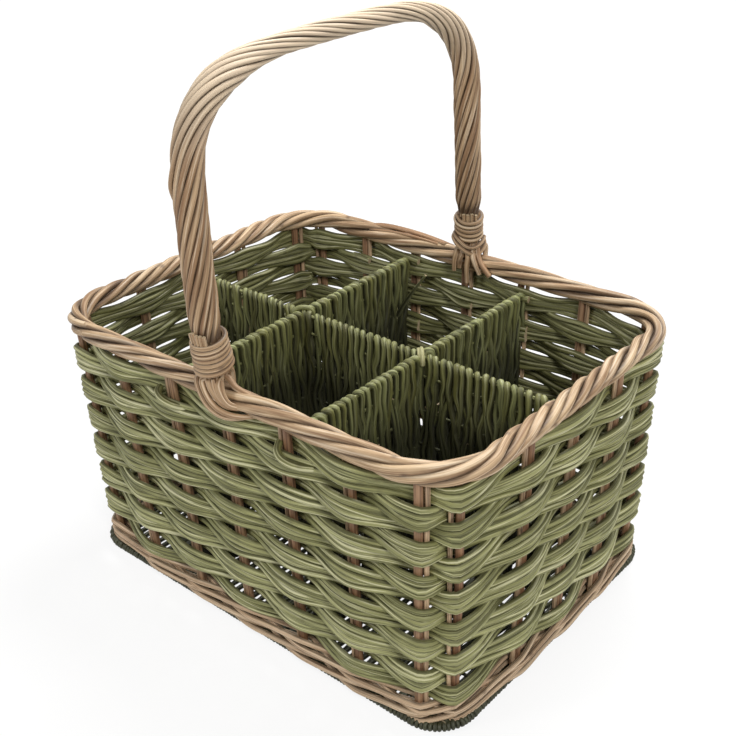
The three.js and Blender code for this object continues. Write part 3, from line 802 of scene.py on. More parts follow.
def weave_rows(sizes, ring):
    """Green rows: four rods side by side, in front of one stake and behind the next."""
    rod = sizes.weave_rod
    swing = StakeSwing(ring, sizes, ROW.gap + rod)
    for row, node in enumerate(ROW_NODES):
        rng = np.random.default_rng(100 + row)
        rods = Rods()
        lay_row(rods, ring, swing, rng, row, sizes.first_row + row * sizes.row_pitch, rod)
        if row == 0:
            lay_row(rods, ring, swing, rng, -1, None, LOW_ROW_THICKNESS * rod)
        if node == ROW_NODES[-1]:
            for keys in HOOKED_ENDS:
                rods.add(smooth_path(keys, 2.4), HOOK_THICKNESS * rod, 0.0)
        name = node.replace("weave_row", "green_row")
        lay_piece(name, rods, "green_willow", row, [node], sides=10, creases=inside_rows)


def lay_row(rods, ring, swing, rng, row, height, rod):
    """Adds the rods of one row. Where no height is given, the row follows the table of the low row."""
    inside = [i for i in range(swing.count) if (i + row) % 2 == 0]
    run = np.arange(0, ring.length + ROW.overlap, ROW.step)
    for j in range(ROW.rods):
        stake = inside[int(rng.integers(len(inside)))]
        distance = swing.at[stake] - ROW.lead + run
        here, _, share = swing.span(distance)
        side_here = np.where((here + row) % 2 == 1, 1.0, -1.0)
        over = (1 + np.cos(FULL_TURN * share)) / 2
        if height is None:
            rest = distance % ring.length
            middle, spacing = (np.interp(rest, LOW_ROW[:, 0], LOW_ROW[:, k]) for k in (1, 2))
            spacing = spacing * (LOW_ROW_SPREAD[0] + LOW_ROW_SPREAD[1] * over)
        else:
            middle, spacing = height, ROW.spacing + ROW.spread * over
        aside = side_here * swing.reach * (1 - 2 * ease(share))
        aside += ROW.crossing * (-1) ** j * (1 - over)
        aside += wander(distance, 0.25, 170, rng)
        aside -= ROW.tuck * (1 - ease(run / ROW.tuck_length))
        z = middle + (j - (ROW.rods - 1) / 2) * spacing + wander(distance, 0.45, 210, rng)
        thickness = rod * np.interp(run, [0, ring.length], ROW.taper) * rng.uniform(*ROW.thickness)
        rods.add(swing.taut(distance, z, aside), thickness, rng.uniform(0, 1))


# The wale, and the six half steps of a rod's way past three stakes: the share of its reach outward, whether
# it bulges, and its rise
WALE = SimpleNamespace(rods=3, gap=0.3, first_stake=17, step=3.6, taper=(1.08, 0.86), thickness=(0.94, 1.04))
WALE_BULGE = 0.5  # how much further out a rod lies midway between the two stakes that it passes outside
WALE_STEPS = ((-1, 0, 0.0), (0, 0, -2.0), (1, 0, -2.5), (1, 1, 0.0), (1, 0, 2.5), (0, 0, 2.0))

# Distance round the wall and the heights of the two rounds of the wale there
WALE_LINE = np.array([
    (0, 10.8, 15.4), (60, 9.4, 15.8), (130, 8.9, 17.4), (245, 8.8, 17.4), (296, 8.5, 14.6), (345, 8.6, 15.0),
    (500, 8.6, 15.4), (534, 8.8, 15.6), (700, 8.9, 17.0), (862, 9.0, 15.8), (1000, 9.6, 15.8),
    (1100, 11.2, 15.6), (1134, 10.8, 15.4),
])


def weave_wale(sizes, ring):
    """Two rounds of three strong rods at the foot: each passes outside two stakes, then inside one."""
    reach = sizes.stake_radius + WALE.gap + sizes.wale_rod
    stakes = StakeSwing(ring, sizes, 0)
    for round_number, node in enumerate(WALE_NODES):
        rng = np.random.default_rng(300 + round_number)
        rods = Rods()
        for j in range(WALE.rods):
            way = smooth_path(wale_keys(stakes, WALE.first_stake + round_number, j, reach), WALE.step)
            middle = np.interp(way[:, 0] % ring.length, WALE_LINE[:, 0], WALE_LINE[:, 1 + round_number])
            height = middle + way[:, 2] + wander(way[:, 0], 0.5, 120, rng)
            path = stakes.taut(way[:, 0], height, way[:, 1])
            thickness = sizes.wale_rod * np.linspace(*WALE.taper, len(path)) * rng.uniform(*WALE.thickness)
            rods.add(path, thickness, rng.uniform(0, 0.8))
        name = node.replace("bottom_wale", "wale")
        lay_piece(name, rods, "wale_willow", 30 + round_number, [node], sides=10,
                  creases=between_rows)


def wale_keys(stakes, first, j, reach):
    """Distance, reach outward and rise of a rod of the wale, at each stake and midway to the next."""
    keys = []
    for half in range(-1, 2 * (stakes.count + 1) + 1):
        stake = (first + half // 2) % stakes.count
        lap = stakes.ring.length * ((first + half // 2) // stakes.count)
        span = (stakes.at[(stake + 1) % stakes.count] - stakes.at[stake]) % stakes.ring.length
        share, bulge, rise = WALE_STEPS[(half + 2 * j) % len(WALE_STEPS)]
        distance = stakes.at[stake] + lap + span * (half % 2) / 2
        keys.append((distance, share * reach + bulge * WALE_BULGE, rise))
    return keys


# The base: rods across it, in and out over sticks, and small loops of rod round its edge
BASE = SimpleNamespace(
    margin=4.5, rod=1.75, pitch=3.4, stick=1.3, stick_pitch=36.0, sticks_each_side=3, stick_margin=6,
    middle=4.2, wave=1.9, step=4.5,
)
LOOP = SimpleNamespace(inset=3.5, pitch=2.8, rod=1.5, bend=1.8, tail=13.0, middle=3.5)


def lay_base(sizes):
    half = box_of("base_panel")[1]
    lay_base_rods(sizes, half)
    lay_base_edge(sizes, half)


def lay_base_rods(sizes, half):
    """Rods side by side across the basket, in and out over the sticks that run along it."""
    rng = np.random.default_rng(500)
    rods = Rods()
    half_length, half_width = half[0] - BASE.margin, half[1] - BASE.margin
    corner = sizes.base_corner_radius - BASE.margin
    count = int(2 * half_length / BASE.pitch)
    for i in range(count + 1):
        x = -half_length + i * 2 * half_length / count
        past = max(0.0, abs(x) - (half_length - corner))
        reach = half_width - corner + math.sqrt(max(0.0, corner**2 - past**2))
        y = np.linspace(-reach, reach, max(6, int(2 * reach / BASE.step)))
        wave = (BASE.wave if i % 2 else -BASE.wave) * np.cos(math.pi * y / BASE.stick_pitch)
        path = np.column_stack([x + wander(y, 0.3, 130, rng), y, BASE.middle + wave])
        rods.add(path, BASE.rod * rng.uniform(0.97, 1.05), rng.uniform(0, 1))
    for k in range(-BASE.sticks_each_side, BASE.sticks_each_side + 1):
        x = np.linspace(-half_length + BASE.stick_margin, half_length - BASE.stick_margin, 90)
        path = np.column_stack([x, np.full_like(x, k * BASE.stick_pitch), np.full_like(x, BASE.middle)])
        rods.add(path, BASE.stick, rng.uniform(0, 1))
    lay_piece("base_rods", rods, "dark_green_willow", 50, ["base_panel"], sides=6)


def lay_base_edge(sizes, half):
    """The looped ends of the rods, all round the edge of the base."""
    edge = WallRing(SimpleNamespace(
        rim_length=2 * (half[0] - LOOP.inset), rim_width=2 * (half[1] - LOOP.inset), wall_inset=0.0,
        rim_height=sizes.rim_height, corner_radius=sizes.base_corner_radius - LOOP.inset,
    ))
    count = round(edge.length / LOOP.pitch)
    distance = (np.arange(count) + 0.5) * edge.length / count
    places = edge.points(distance, np.full(count, 0.0))
    arc = LOOP.bend * np.exp(1j * np.linspace(-math.pi / 2, math.pi / 2, 7))
    hairpin = [(-LOOP.tail, -LOOP.bend)] + [(way.real, way.imag) for way in arc] + [(-LOOP.tail, LOOP.bend)]
    hairpin = np.array([(x, 0.0, z + LOOP.middle) for x, z in hairpin])
    mesh = bpy.data.meshes.new("base_edge_paths")
    ids = (np.arange(len(hairpin)) + count).tolist()
    mesh.from_pydata((np.vstack([places, hairpin]) * MM).tolist(), list(zip(ids[:-1], ids[1:])), [])
    flag = mesh.attributes.new("is_loop", "BOOLEAN", "POINT")
    flag.data.foreach_set("value", np.arange(count + len(hairpin)) >= count)
    ways = np.vstack([edge.outward(distance), np.tile([1.0, 0, 0], (len(hairpin), 1))])
    facing = mesh.attributes.new("facing", "FLOAT_VECTOR", "POINT")
    facing.data.foreach_set("vector", ways.astype(np.float32).ravel())
    piece = run_tree("base_edge_loops", mesh, "Loops Round The Edge", {
        "Rod Radius": LOOP.rod * MM, "Sides": 7, "Size Change": 0.1, "Turn Change": 0.28, "Seed": 5,
        "Bark": bpy.data.materials["dark_green_willow_bark"],
    })
    place_piece(piece, ["base_panel"])


# Border


LONG_TURN, SHORT_TURN = 160.0, 85.0  # length of a turn of the rope on the long sides and on the short ones


def border_twist(ring, distance):
    """Turn of the rope at each distance: long turns on the long sides and short ones on the short sides."""
    lengths, turns = [], []
    for side in range(4):
        lengths += [ring.sides[side], ring.corner_length]
        turns += [(LONG_TURN, SHORT_TURN)[side % 2], (LONG_TURN + SHORT_TURN) / 2]
    rates = np.array(lengths) / np.array(turns)
    rates *= round(rates.sum()) / rates.sum()
    return np.interp(
        np.mod(distance, ring.length), np.concatenate([[0], np.cumsum(lengths)]),
        -FULL_TURN * np.concatenate([[0], np.cumsum(rates)]),
    )


# The rope's rods and its core, and the depths in it between which the painted shade of the creases fades
BORDER = SimpleNamespace(
    rods=5, rod=2.8, core=3.0, step=3.5, tuck=0.15, crease_outside=7.0, crease_inside=5.2,
)

# Thin brown rods that lie along the back of the border beside the handle, each with its radius
LOOSE_BORDER_RODS = (
    ([(-110, 131, 192), (-88, 131.5, 197.6), (-60, 131, 199.4), (-36, 130.5, 198.8), (-16, 130, 197)], 1.6),
    ([(-101, 128, 196.4), (-72, 128.5, 199.4), (-46, 128, 199.8), (-22, 127.5, 198.4)], 1.35),
    ([(-96, 124.5, 194), (-70, 125, 197.5), (-44, 125.5, 198.2), (-28, 126, 197.6)], 1.2),
)


def twist_border(sizes, ring):
    """The rope border: five thick rods laid round each other, with a thin core."""
    rods = Rods()
    rng = np.random.default_rng(700)
    distance = np.arange(0, ring.length, BORDER.step)
    wave = FULL_TURN * distance / ring.length

    def swell(size, waves):
        """A drift that meets itself after one way round the basket."""
        return size * np.sin(waves * wave + rng.uniform(0, 6))

    twist = border_twist(ring, distance)
    for n in range(BORDER.rods):
        angle = twist + FULL_TURN * (n + rng.uniform(-0.08, 0.08)) / BORDER.rods
        angle += swell(0.12, 3) + swell(0.06, 11)
        out = sizes.border_radius - BORDER.rod - BORDER.tuck + swell(0.3, 5)
        path = ring.points(distance, sizes.rim_height + out * np.cos(angle), out * np.sin(angle))
        rods.add(path, BORDER.rod * (1 + swell(0.1, 2)), rng.uniform(0, 0.6), is_ring=True)
    rods.add(ring.points(distance, np.full_like(distance, sizes.rim_height)), BORDER.core, 0.9, is_ring=True)
    for keys, thin in LOOSE_BORDER_RODS:
        rods.add(smooth_path(keys, 3.0), thin, 1.0)

    # Painted shade in the creases of the rope, by depth
    def deep(points, normals):
        reach = np.hypot(ring.depth(points), points[:, 2] - sizes.rim_height)
        return fade(reach, BORDER.crease_outside, BORDER.crease_inside)

    lay_piece("rope_border", rods, "natural_willow", 70, ["rim_border"], sides=12, uneven=0.08, creases=deep)


# Dividers


# A woven panel: the height of its foot, how far its top stick lies below the border's middle, how far its
# legs swing to each side, and the radii and spacing of its thinner rods
PANEL = SimpleNamespace(
    foot=9.0, top_drop=12.3, swing=1.45, step=4.0, short_rod=1.15, short_rod_pitch=13, top_stick=1.3,
    stick=0.9, stick_pitch=27.0, first_stick_drop=14, last_stick=12, end_rod=1.6, end_rod_step=5.0,
    end_rod_inset=1.2,
)

# A leg of a looped rod: how far down and over what length it changes sides, its drift, its sway along the
# panel with the length of its waves, and its slip to one side towards the foot
LEG = SimpleNamespace(
    straight=(2, 14), turn=(34, 60), drift=0.2, drift_wave=60, sway=2.3, sway_wave=(45, 90), sway_start=24,
    slip=4, slip_start=10, slip_length=110,
)


class DividerPanel:
    """One woven panel, from its start to its reach at each height."""

    def __init__(self, rods, origin, travel, reach, sizes, rng, start):
        self.rods, self.reach, self.rng, self.start = rods, reach, rng, start
        self.origin = np.array([origin, 0.0, 0.0])
        self.travel = np.array(travel, float)
        self.sideways = np.cross([0, 0, 1], self.travel)
        self.top = sizes.rim_height - PANEL.top_drop
        self.rod, self.pitch = sizes.divider_rod, sizes.divider_pitch
        self.low_end, self.top_end = reach(np.array([PANEL.foot, self.top]))

    def at(self, distance, aside, height):
        along = self.origin + self.travel * np.asarray(distance)[:, None]
        across = self.sideways * np.asarray(aside)[:, None]
        return along + across + np.array([0, 0, 1.0]) * np.asarray(height)[:, None]

    def lay(self):
        self.lay_looped_rods()
        self.lay_short_rods()
        self.lay_sticks()
        self.lay_end_rod()

    def leg(self, side, share, slant, heights, drop):
        """One leg of a looped rod: it sways, crosses its neighbours and changes sides on its way down."""
        rng = self.rng
        turn = rng.uniform(*LEG.turn)
        turned = np.maximum(0, drop - rng.uniform(*LEG.straight)) / turn
        aside = side * PANEL.swing * np.cos(math.pi * turned)
        aside += wander(heights, LEG.drift, LEG.drift_wave, rng)
        sway = wander(heights, LEG.sway, rng.uniform(*LEG.sway_wave), rng) * ease(drop / LEG.sway_start)
        sway += rng.uniform(-LEG.slip, LEG.slip) * np.clip((drop - LEG.slip_start) / LEG.slip_length, 0, 1)
        middle = self.start + share * (self.reach(heights) - self.start)
        return middle - side * slant * (1 - 0.5 * ease(drop / 30)) + sway, aside, heights

    def lay_looped_rods(self):
        """Rods looped over the top stick, with a leg on each side."""
        rng = self.rng
        count = int(round((self.top_end - self.start) / self.pitch))
        heights = np.arange(self.top - 2, PANEL.foot, -PANEL.step)
        drop = self.top - heights
        bend = np.linspace(0, math.pi, 7)[1:-1]
        for i in range(count):
            share = (i + rng.uniform(0.25, 0.75)) / count
            tint = rng.uniform(0, 1)
            thickness = self.rod * rng.uniform(0.8, 1.1)
            slant = self.pitch * rng.uniform(0.22, 0.46)
            upward, down = (self.leg(side, share, slant, heights, drop) for side in (1, -1))
            place = self.start + share * (self.top_end - self.start)
            over = (
                place - slant + 2 * slant * bend / math.pi,
                (PANEL.swing + 0.15) * np.cos(bend),
                self.top + (PANEL.swing + 0.25) * np.sin(bend),
            )
            distance, aside, height = (np.concatenate([upward[k][::-1], over[k], down[k]]) for k in range(3))
            fall = np.clip((self.top - height) / 60, 0, 1)
            self.rods.add(self.at(distance, aside, height), thickness * (1.0 - 0.2 * fall), tint)

    def lay_short_rods(self):
        """Short thin rods that start and end between the others."""
        rng = self.rng
        for _ in range(int((self.top_end - self.start) / PANEL.short_rod_pitch)):
            lift = rng.uniform(30, self.top - 8)
            tall = rng.uniform(30, 60)
            run = self.start + rng.uniform(0.06, 0.94) * (self.low_end - self.start)
            way = rng.choice([-1, 1]) * rng.uniform(4, 9)
            side = rng.choice([-1, 1]) * (PANEL.swing + 0.7)
            keys = [(run - way / 2, side * 0.2, lift), (run - way / 5, side, lift - 0.3 * tall),
                    (run + way / 4, side, lift - 0.7 * tall), (run + way / 2, side * 0.1, lift - tall)]
            keys = np.array([key for key in keys if key[2] > PANEL.foot])
            if len(keys) > 2:
                self.rods.add(smooth_path(self.at(*keys.T), 3.0), PANEL.short_rod, rng.uniform(0.3, 1))

    def lay_sticks(self):
        lower = np.arange(self.top - PANEL.first_stick_drop, PANEL.last_stick, -PANEL.stick_pitch)
        for height in [self.top] + list(lower):
            run = np.linspace(self.start, float(self.reach(np.array([height]))[0]), 20)
            radius = PANEL.top_stick if height == self.top else PANEL.stick
            self.rods.add(self.at(run, 0 * run, height + 0 * run), radius, 0.5)

    def lay_end_rod(self):
        """A rod that stands at the far end of the panel."""
        heights = np.arange(PANEL.foot, self.top + 2, PANEL.end_rod_step)
        path = self.at(self.reach(heights) - PANEL.end_rod_inset, 0 * heights, heights)
        self.rods.add(path, PANEL.end_rod, self.rng.uniform(0, 1))


# How far the inner face of the weaving lies in from the stakes, at the ground and at the border
INNER_FACE = (5.75, 4.15)

# Where a panel starts: clear of the wall, and clear of the long divider
LONG_START, SHORT_START = 2.6, 4.2

# A loose rod beside the short divider at the back on the left
LOOSE_DIVIDER_ROD = [(-29, 111.5, 176), (-36, 108.5, 165), (-46, 107.5, 150), (-54, 107, 136)]

TIE_DROP = 9.0  # from the middle of the border down to the ties

# Each tie: its bark, and its rods as points from the middle of the crossing, with radius and tint
TIES = {
    "left": ("dark_green_willow", (
        ([(-5.0, -4.6, -7), (-4.7, -4.2, -1.6), (-2.3, -1.9, 1.1), (2.3, 2.3, 1.2), (4.7, 4.7, -1.4),
          (5.0, 5.0, -7)], 1.75, 0.6),
        ([(-4.9, -2.0, -6), (-3.6, -0.4, -0.2), (0.3, 3.0, 0.6), (2.6, 5.0, -2.0), (2.8, 5.3, -8)], 1.3, 0.9),
    )),
    "right": ("pale_green_willow", (
        ([(-3.6, 4.2, -5), (-2.6, 3.0, 0.4), (0, 0, 1.6), (2.8, -3.0, 0.3), (4.6, -4.8, -3.0),
          (4.6, -4.8, -6)], 1.75, 0.6),
        ([(-5.0, 2.2, -5), (-3.8, 1.4, 0.2), (-1.4, -1.2, 1.3), (1.2, -3.9, -0.2), (3.0, -4.9, -4)],
         1.4, 0.7),
    )),
}


def middle_of(node):
    """The middle of a node along X."""
    low, high = box_of(node)
    return (low[0] + high[0]) / 2


def beside_rods(axis):
    """Upright rods touch where they face along the divider, and the bark paints shade there."""
    return lambda points, normals: fade(np.abs(normals[:, axis]), 0.45, 0.95)


def inner_reach(rim_size, sizes):
    """Distance to the inner face of the weaving, which leans out from the wale up to the border."""
    low, high = (rim_size / 2 - sizes.stake_radius - depth for depth in INNER_FACE)
    low -= sizes.wall_inset
    return lambda height: low + (high - low) * height / sizes.rim_height


def lay_divider(name, rods, node, seed, axis):
    lay_piece(name, rods, "dark_green_willow", seed, [node], sides=8, uneven=0.1, creases=beside_rods(axis))


def build_dividers(sizes):
    """The long divider is one panel that starts at its left end, and the short ones start at it."""
    rng = np.random.default_rng(900)
    long_reach = inner_reach(sizes.rim_length, sizes)
    short_reach = inner_reach(sizes.rim_width, sizes)
    half = float(long_reach(np.array([sizes.rim_height]))[0])
    whole = lambda height: half + long_reach(height)
    rods = Rods()
    DividerPanel(rods, -half, (1, 0, 0), whole, sizes, rng, LONG_START).lay()
    lay_divider("long_woven_divider", rods, "long_divider", 90, 0)
    for side in ("left", "right"):
        for way, travel in (("front", (0, -1, 0)), ("back", (0, 1, 0))):
            node = f"short_divider_{side}_{way}"
            rods = Rods()
            DividerPanel(rods, middle_of(node), travel, short_reach, sizes, rng, SHORT_START).lay()
            if node == "short_divider_left_back":
                path = smooth_path(LOOSE_DIVIDER_ROD, 3.0)
                rods.add(path, np.linspace(0.9, 1.9, len(path)), 0.4)
            lay_divider(f"short_woven_divider_{side}_{way}", rods, node, 91, 1)
        lay_tie(side, sizes)


def lay_tie(side, sizes):
    """A rod laid over the crossing of two dividers, with its ends bent down into two opposite corners."""
    node = f"divider_tie_{side}"
    middle = np.array([middle_of(node), 0.0, sizes.rim_height - TIE_DROP])
    bark, straps = TIES[side]
    rods = Rods()
    for keys, radius, tint in straps:
        rods.add(smooth_path(middle + keys, 1.2), radius, tint)
    lay_piece(f"crossing_tie_{side}", rods, bark, 95, [node], sides=10)


# Handle


# Each leg: how far its shoulder lies outside the wall's middle line and below the handle's top, how square
# the bend above it is, and points of the leg below it, as shares of the way up and of the way outward
FRONT_LEG = SimpleNamespace(
    sign=-1, outside=9, drop=72, squareness=3.1, shares=((0, 0.3), (0.17, 0.59), (0.34, 0.88), (0.6, 1)),
)
BACK_LEG = SimpleNamespace(
    sign=1, outside=-5, drop=79, squareness=2.7, shares=((0, 0), (0.35, 0.35), (0.7, 0.7)),
)
FLAT_TOP = 20  # half the straight stretch between the two bends
BEND_POINTS = 6
FOOT_GAP = 0.3  # from the border up to the handle's foot


def half_line(leg, sizes):
    """Points of the handle's middle line from a foot up to the end of the bend."""
    foot_height = sizes.rim_height + sizes.border_radius + FOOT_GAP
    half = sizes.rim_width / 2
    shoulder = sizes.handle_top - leg.drop
    points = [
        (0, leg.sign * (half + leg.outside * out), foot_height + (shoulder - foot_height) * rise)
        for rise, out in leg.shares
    ]
    for i in range(BEND_POINTS):
        angle = math.pi / 2 * i / BEND_POINTS
        out, rise = (part ** (2 / leg.squareness) for part in (math.cos(angle), math.sin(angle)))
        across = FLAT_TOP + (half + leg.outside - FLAT_TOP) * out
        points.append((0, leg.sign * across, shoulder + leg.drop * rise))
    return points


def handle_line(sizes):
    """The handle's middle line, from the front foot over the top to the back foot."""
    points = half_line(FRONT_LEG, sizes) + [(0, 0, sizes.handle_top)] + half_line(BACK_LEG, sizes)[::-1]
    return Line(smooth_path(points, 1.0))


# The top's thickness as a share of the legs', and how far from the middle the shoulders start and end
SLIM_SHARE, SHOULDERS = 0.68, (62, 110)


def slimness(line, distance):
    """The handle's thickness as a share of its legs: it grows slimmer over the shoulders."""
    return SLIM_SHARE + (1 - SLIM_SHARE) * fade(np.abs(line.point(distance)[:, 1]), *SHOULDERS)


def beside(line, distance, angle, radius):
    """Points beside the handle's middle line, at an angle from +X towards the inside of the basket."""
    travel = line.travel(distance)
    across = np.tile([1.0, 0.0, 0.0], (len(travel), 1))
    inward = np.cross(travel, across)
    inward /= np.linalg.norm(inward, axis=1, keepdims=True)
    facing = across * np.cos(angle)[:, None] + inward * np.sin(angle)[:, None]
    return line.point(distance) + facing * np.broadcast_to(radius, distance.shape)[:, None]


# Ways of the strands down past the border at the front, as points. The other strands go down behind it.
FRONT_FEET = {
    0: [(9.6, -129.4, 203), (14, -129.6, 199.6), (22, -128.4, 197.4), (31, -126.5, 194.5)],
    4: [(-9.5, -138.6, 203), (-6.5, -140.2, 194), (0.5, -140.4, 186), (9.0, -139.4, 182.4),
        (16, -136.4, 181.6), (22, -131, 182), (28, -125, 183.5)],
    5: [(-4.2, -139.4, 203), (-0.5, -140.6, 194.5), (6, -140.6, 188.5), (13, -139.2, 185.6),
        (19, -136, 184), (25, -131, 183.4), (31, -125, 184)],
    6: [(2.5, -139.4, 202), (7.4, -139.6, 195.5), (12.0, -138.6, 191), (17.5, -134.5, 188.5),
        (22, -130, 188)],
    7: [(8.6, -138.2, 202), (12.2, -138.8, 195.8), (15.6, -137.6, 191.5), (20, -133.5, 189),
        (24, -130, 188.5)],
}
SLIM_FEET = (4, 5)

# Thin rods beside the strands where they leave the front collar: what is added to the strand's tint, and
# the points of each
THIN_FOOT_RODS = {
    6: (0.1, (
        [(-1.0, -139.0, 206), (1.4, -140.0, 200), (5.4, -139.4, 194), (13.7, -136.5, 190), (20, -131, 188)],
        [(4.8, -139.0, 206), (7.2, -140.0, 200), (11.2, -139.4, 194), (15.44, -136.5, 190), (20, -131, 188)],
    )),
    7: (0.0, (
        [(10.5, -136.5, 206), (13.0, -138.4, 199), (16.4, -137.4, 193), (20.5, -133, 190), (24, -130, 189)],
    )),
}

# Strands that show inside the border at the back: X and height where each leaves the collar, and of its tail
BACK_FAN = (
    ((-4.3, 201), (-6.8, 184)), ((1.3, 201), (-2.0, 187.5)), ((6.0, 200), (5.6, 177)),
    ((10.4, 199.5), (16.8, 186.5)),
)
LAST_FAN_ROD = [(10.5, 124, 205), (13, 122, 199), (19, 119.5, 193), (26, 118.8, 187)]


def front_foot(n, start):
    """Points of a strand's way down past the border at the front, from its place under the collar."""
    x = start[0] * 0.55 - 2.8
    return FRONT_FEET.get(n, [(x, -118.4, 202), (x, -117.4, 192), (x * 1.1, -118.6, 167)])


def back_foot(order, start):
    """Points of a strand's way down at the back. The inner ones have an order and fan out where they show."""
    if order is None:
        x = start[0] * 1.4
        return [(x, 137.4, 202), (x, 138.3, 192), (x * 1.5, 137.4, 178)]
    (x, z), (tail_x, tail_z) = BACK_FAN[order]
    return [(x, 118.6, z), ((x + tail_x) / 2, 117.4, (z + tail_z) / 2 + 1), (tail_x, 118.6, tail_z)]


# Places in the ring of twisted rods: eight rods go down past the border, and four end under the collars
PASSING, SPARE = (0, 2, 3, 5, 6, 8, 9, 11), (1, 4, 7, 10)
TWIST = SimpleNamespace(ring=7.6, end=6.2, turn_length=165, step=3.0)

# How much each collar draws the rods together, up to where, and the length over which they spread again
COLLAR_SQUEEZE, SPREAD_LENGTH = ((0.15, 27), (0.21, 24)), 14

# One rod stands out from the left side of the twist low in the front leg
BULGE = SimpleNamespace(at=120, facing=-139, length=11, out=2.6, thinner=0.22)


def twist_handle(sizes, line):
    """Twelve rods twisted round the core: eight go down past the border, four end under the collars."""
    rod, count = sizes.handle_rod, len(PASSING) + len(SPARE)
    helix = line.length - 2 * TWIST.end
    turns = round(helix / TWIST.turn_length * len(PASSING)) / len(PASSING)
    rng = np.random.default_rng(1100)
    run = np.arange(0, helix, TWIST.step)
    lasts = [FULL_TURN * ((place + 0.5) / count + turns) for place in PASSING]
    facing_in = (n for n, last in enumerate(lasts) if math.sin(last) > 0)
    inner = sorted(facing_in, key=lambda n: math.cos(lasts[n]))

    def wind(place):
        """Path and radii of the rod at this place in the ring."""
        share = run / helix
        angle = FULL_TURN * ((place + 0.5) / count + turns * share)
        angle += 0.06 * np.sin(FULL_TURN * share * 3 + rng.uniform(0, 6)) * np.sin(math.pi * share)
        squeeze = slimness(line, TWIST.end + run)
        for past, (size, reach) in zip((run, helix - run), COLLAR_SQUEEZE):
            squeeze = squeeze * (1 - size * (1 - ease((past - reach) / SPREAD_LENGTH)))
        radial = (TWIST.ring + wander(run, 0.2, 150, rng)) * squeeze
        off_side = math.remainder(np.interp(BULGE.at, run, angle) - math.radians(BULGE.facing), FULL_TURN)
        if abs(off_side) < math.pi / count:
            bulge = np.exp(-(((run - BULGE.at) / BULGE.length) ** 2))
            radial += BULGE.out * bulge
            squeeze = squeeze * (1 - BULGE.thinner * bulge)
        return beside(line, TWIST.end + run, angle, radial), rod * squeeze * rng.uniform(0.92, 1.06)

    for n, node in enumerate(STRAND_NODES):
        rods = Rods()
        middle, middle_radius = wind(PASSING[n])
        first, last = middle[0], middle[-1]
        order = inner.index(n) if n in inner else None
        front = smooth_path([first] + front_foot(n, first), 2.4)[1:]
        back = smooth_path([last] + back_foot(order, last), 2.4)[1:]
        front_radius = rod * (np.linspace(0.8, 1.1, len(front)) - (0.1 if n in SLIM_FEET else 0.0))
        back_radius = rod * np.linspace(1.08, 0.8, len(back))
        radius = np.concatenate([front_radius, middle_radius, back_radius])
        tint = rng.uniform(0.25, 1)
        rods.add(np.vstack([front[::-1], middle, back]), radius, tint)
        tint_shift, ways = THIN_FOOT_RODS.get(n, (0.0, ()))
        for keys in ways:
            rods.add(smooth_path(keys, 2.0), 1.1, tint + tint_shift)
        if n == inner[-1]:
            rods.add(smooth_path(LAST_FAN_ROD, 2.0), 2.0, 0.9)
        if n % 2 == 0:
            path, radius = wind(SPARE[n // 2])
            rods.add(path, radius, rng.uniform(0.25, 1))
        name = node.replace("handle_strand", "twisted_strand")
        lay_piece(name, rods, "natural_willow", 110 + n, [node], sides=12, uneven=0.08,
                  creases=between_strands(line, sizes))
    finish_core()


def between_strands(line, sizes):
    """Depth between the strands of the handle, from the distance to its middle line, where the bark paints
    shade.
    """
    outside, inside = 9.55, 8.2
    above_border = 38  # the collars and what lies below them have no such creases

    def deep(points, normals):
        gaps = np.linalg.norm(points[:, None, :] - line.points[None, ::3, :], axis=2)
        slim = slimness(line, line.at[::3][gaps.argmin(axis=1)])
        is_free = points[:, 2] > sizes.rim_height + above_border
        return fade(gaps.min(axis=1) / slim, outside, inside) * is_free

    return deep


def finish_core():
    """The core stays as the CAD has it, with the bark of the stakes."""
    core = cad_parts["handle_core"]
    core.data.materials.clear()
    core.data.materials.append(bpy.data.materials["plain_brown_willow"])


# Turns of the back collar that hang loose, as points with the rod's radius
HANGING_TURNS = (
    ([(-9.5, 123, 212.5), (-7.2, 118, 211.5), (-2.6, 115.2, 208.4), (3, 115.0, 204.9), (7.2, 116.8, 202.1),
      (10.3, 120.0, 200.4), (12.4, 125.6, 201.6), (11.2, 132, 205), (7, 136.5, 208.5)], 1.7),
    ([(-8.4, 121, 214), (-4.2, 117, 213), (0.9, 115.4, 210.4), (5.4, 116.6, 207.0), (9.7, 120.3, 205.8),
      (11.8, 127, 208.2), (10, 133.5, 211)], 1.5),
)

# Each collar: where it starts above the foot, its turns, pitch and tilt with the low side in degrees, its
# distance from the handle's middle line on the way up, and the cut ends that stand up behind its last turn
COLLARS = {
    "front": SimpleNamespace(
        sign=1, bottom=9.05, first_angle=0.5, turns=7.6, pitch=3.1, tilt=0.5, low_side=-80,
        profile=(11.2, 10.9, 10.4, 10.1), stubs=(-114, -93, -79, -65, -51), stub_reach=9.0, hanging=(),
    ),
    "back": SimpleNamespace(
        sign=-1, bottom=10.8, first_angle=2.4, turns=5.0, pitch=3.4, tilt=2.8, low_side=50,
        profile=(9.7, 9.3, 9.4, 10.0), stubs=(76, 57, 38, 18), stub_reach=8.4, hanging=HANGING_TURNS,
    ),
}
PROFILE_SHARES = (0, 0.25, 0.7, 1)
POINTS_PER_TURN = 28

# How far in the winding starts and ends, each with the turns that it takes to come out
TUCKED_START, TUCKED_END = (2.4, 0.3), (2.0, 0.25)

# A cut end: its rod, its points, how far it goes below the last turn and above it, and how far it leans out
STUB = SimpleNamespace(rod=1.2, points=8, below=7, above=(6.2, 8.2), lean=0.9)


def wind_collars(sizes, line):
    rng = np.random.default_rng(1300)
    for name, plan in COLLARS.items():
        wind_collar(name, plan, sizes.collar_rod, line, rng)


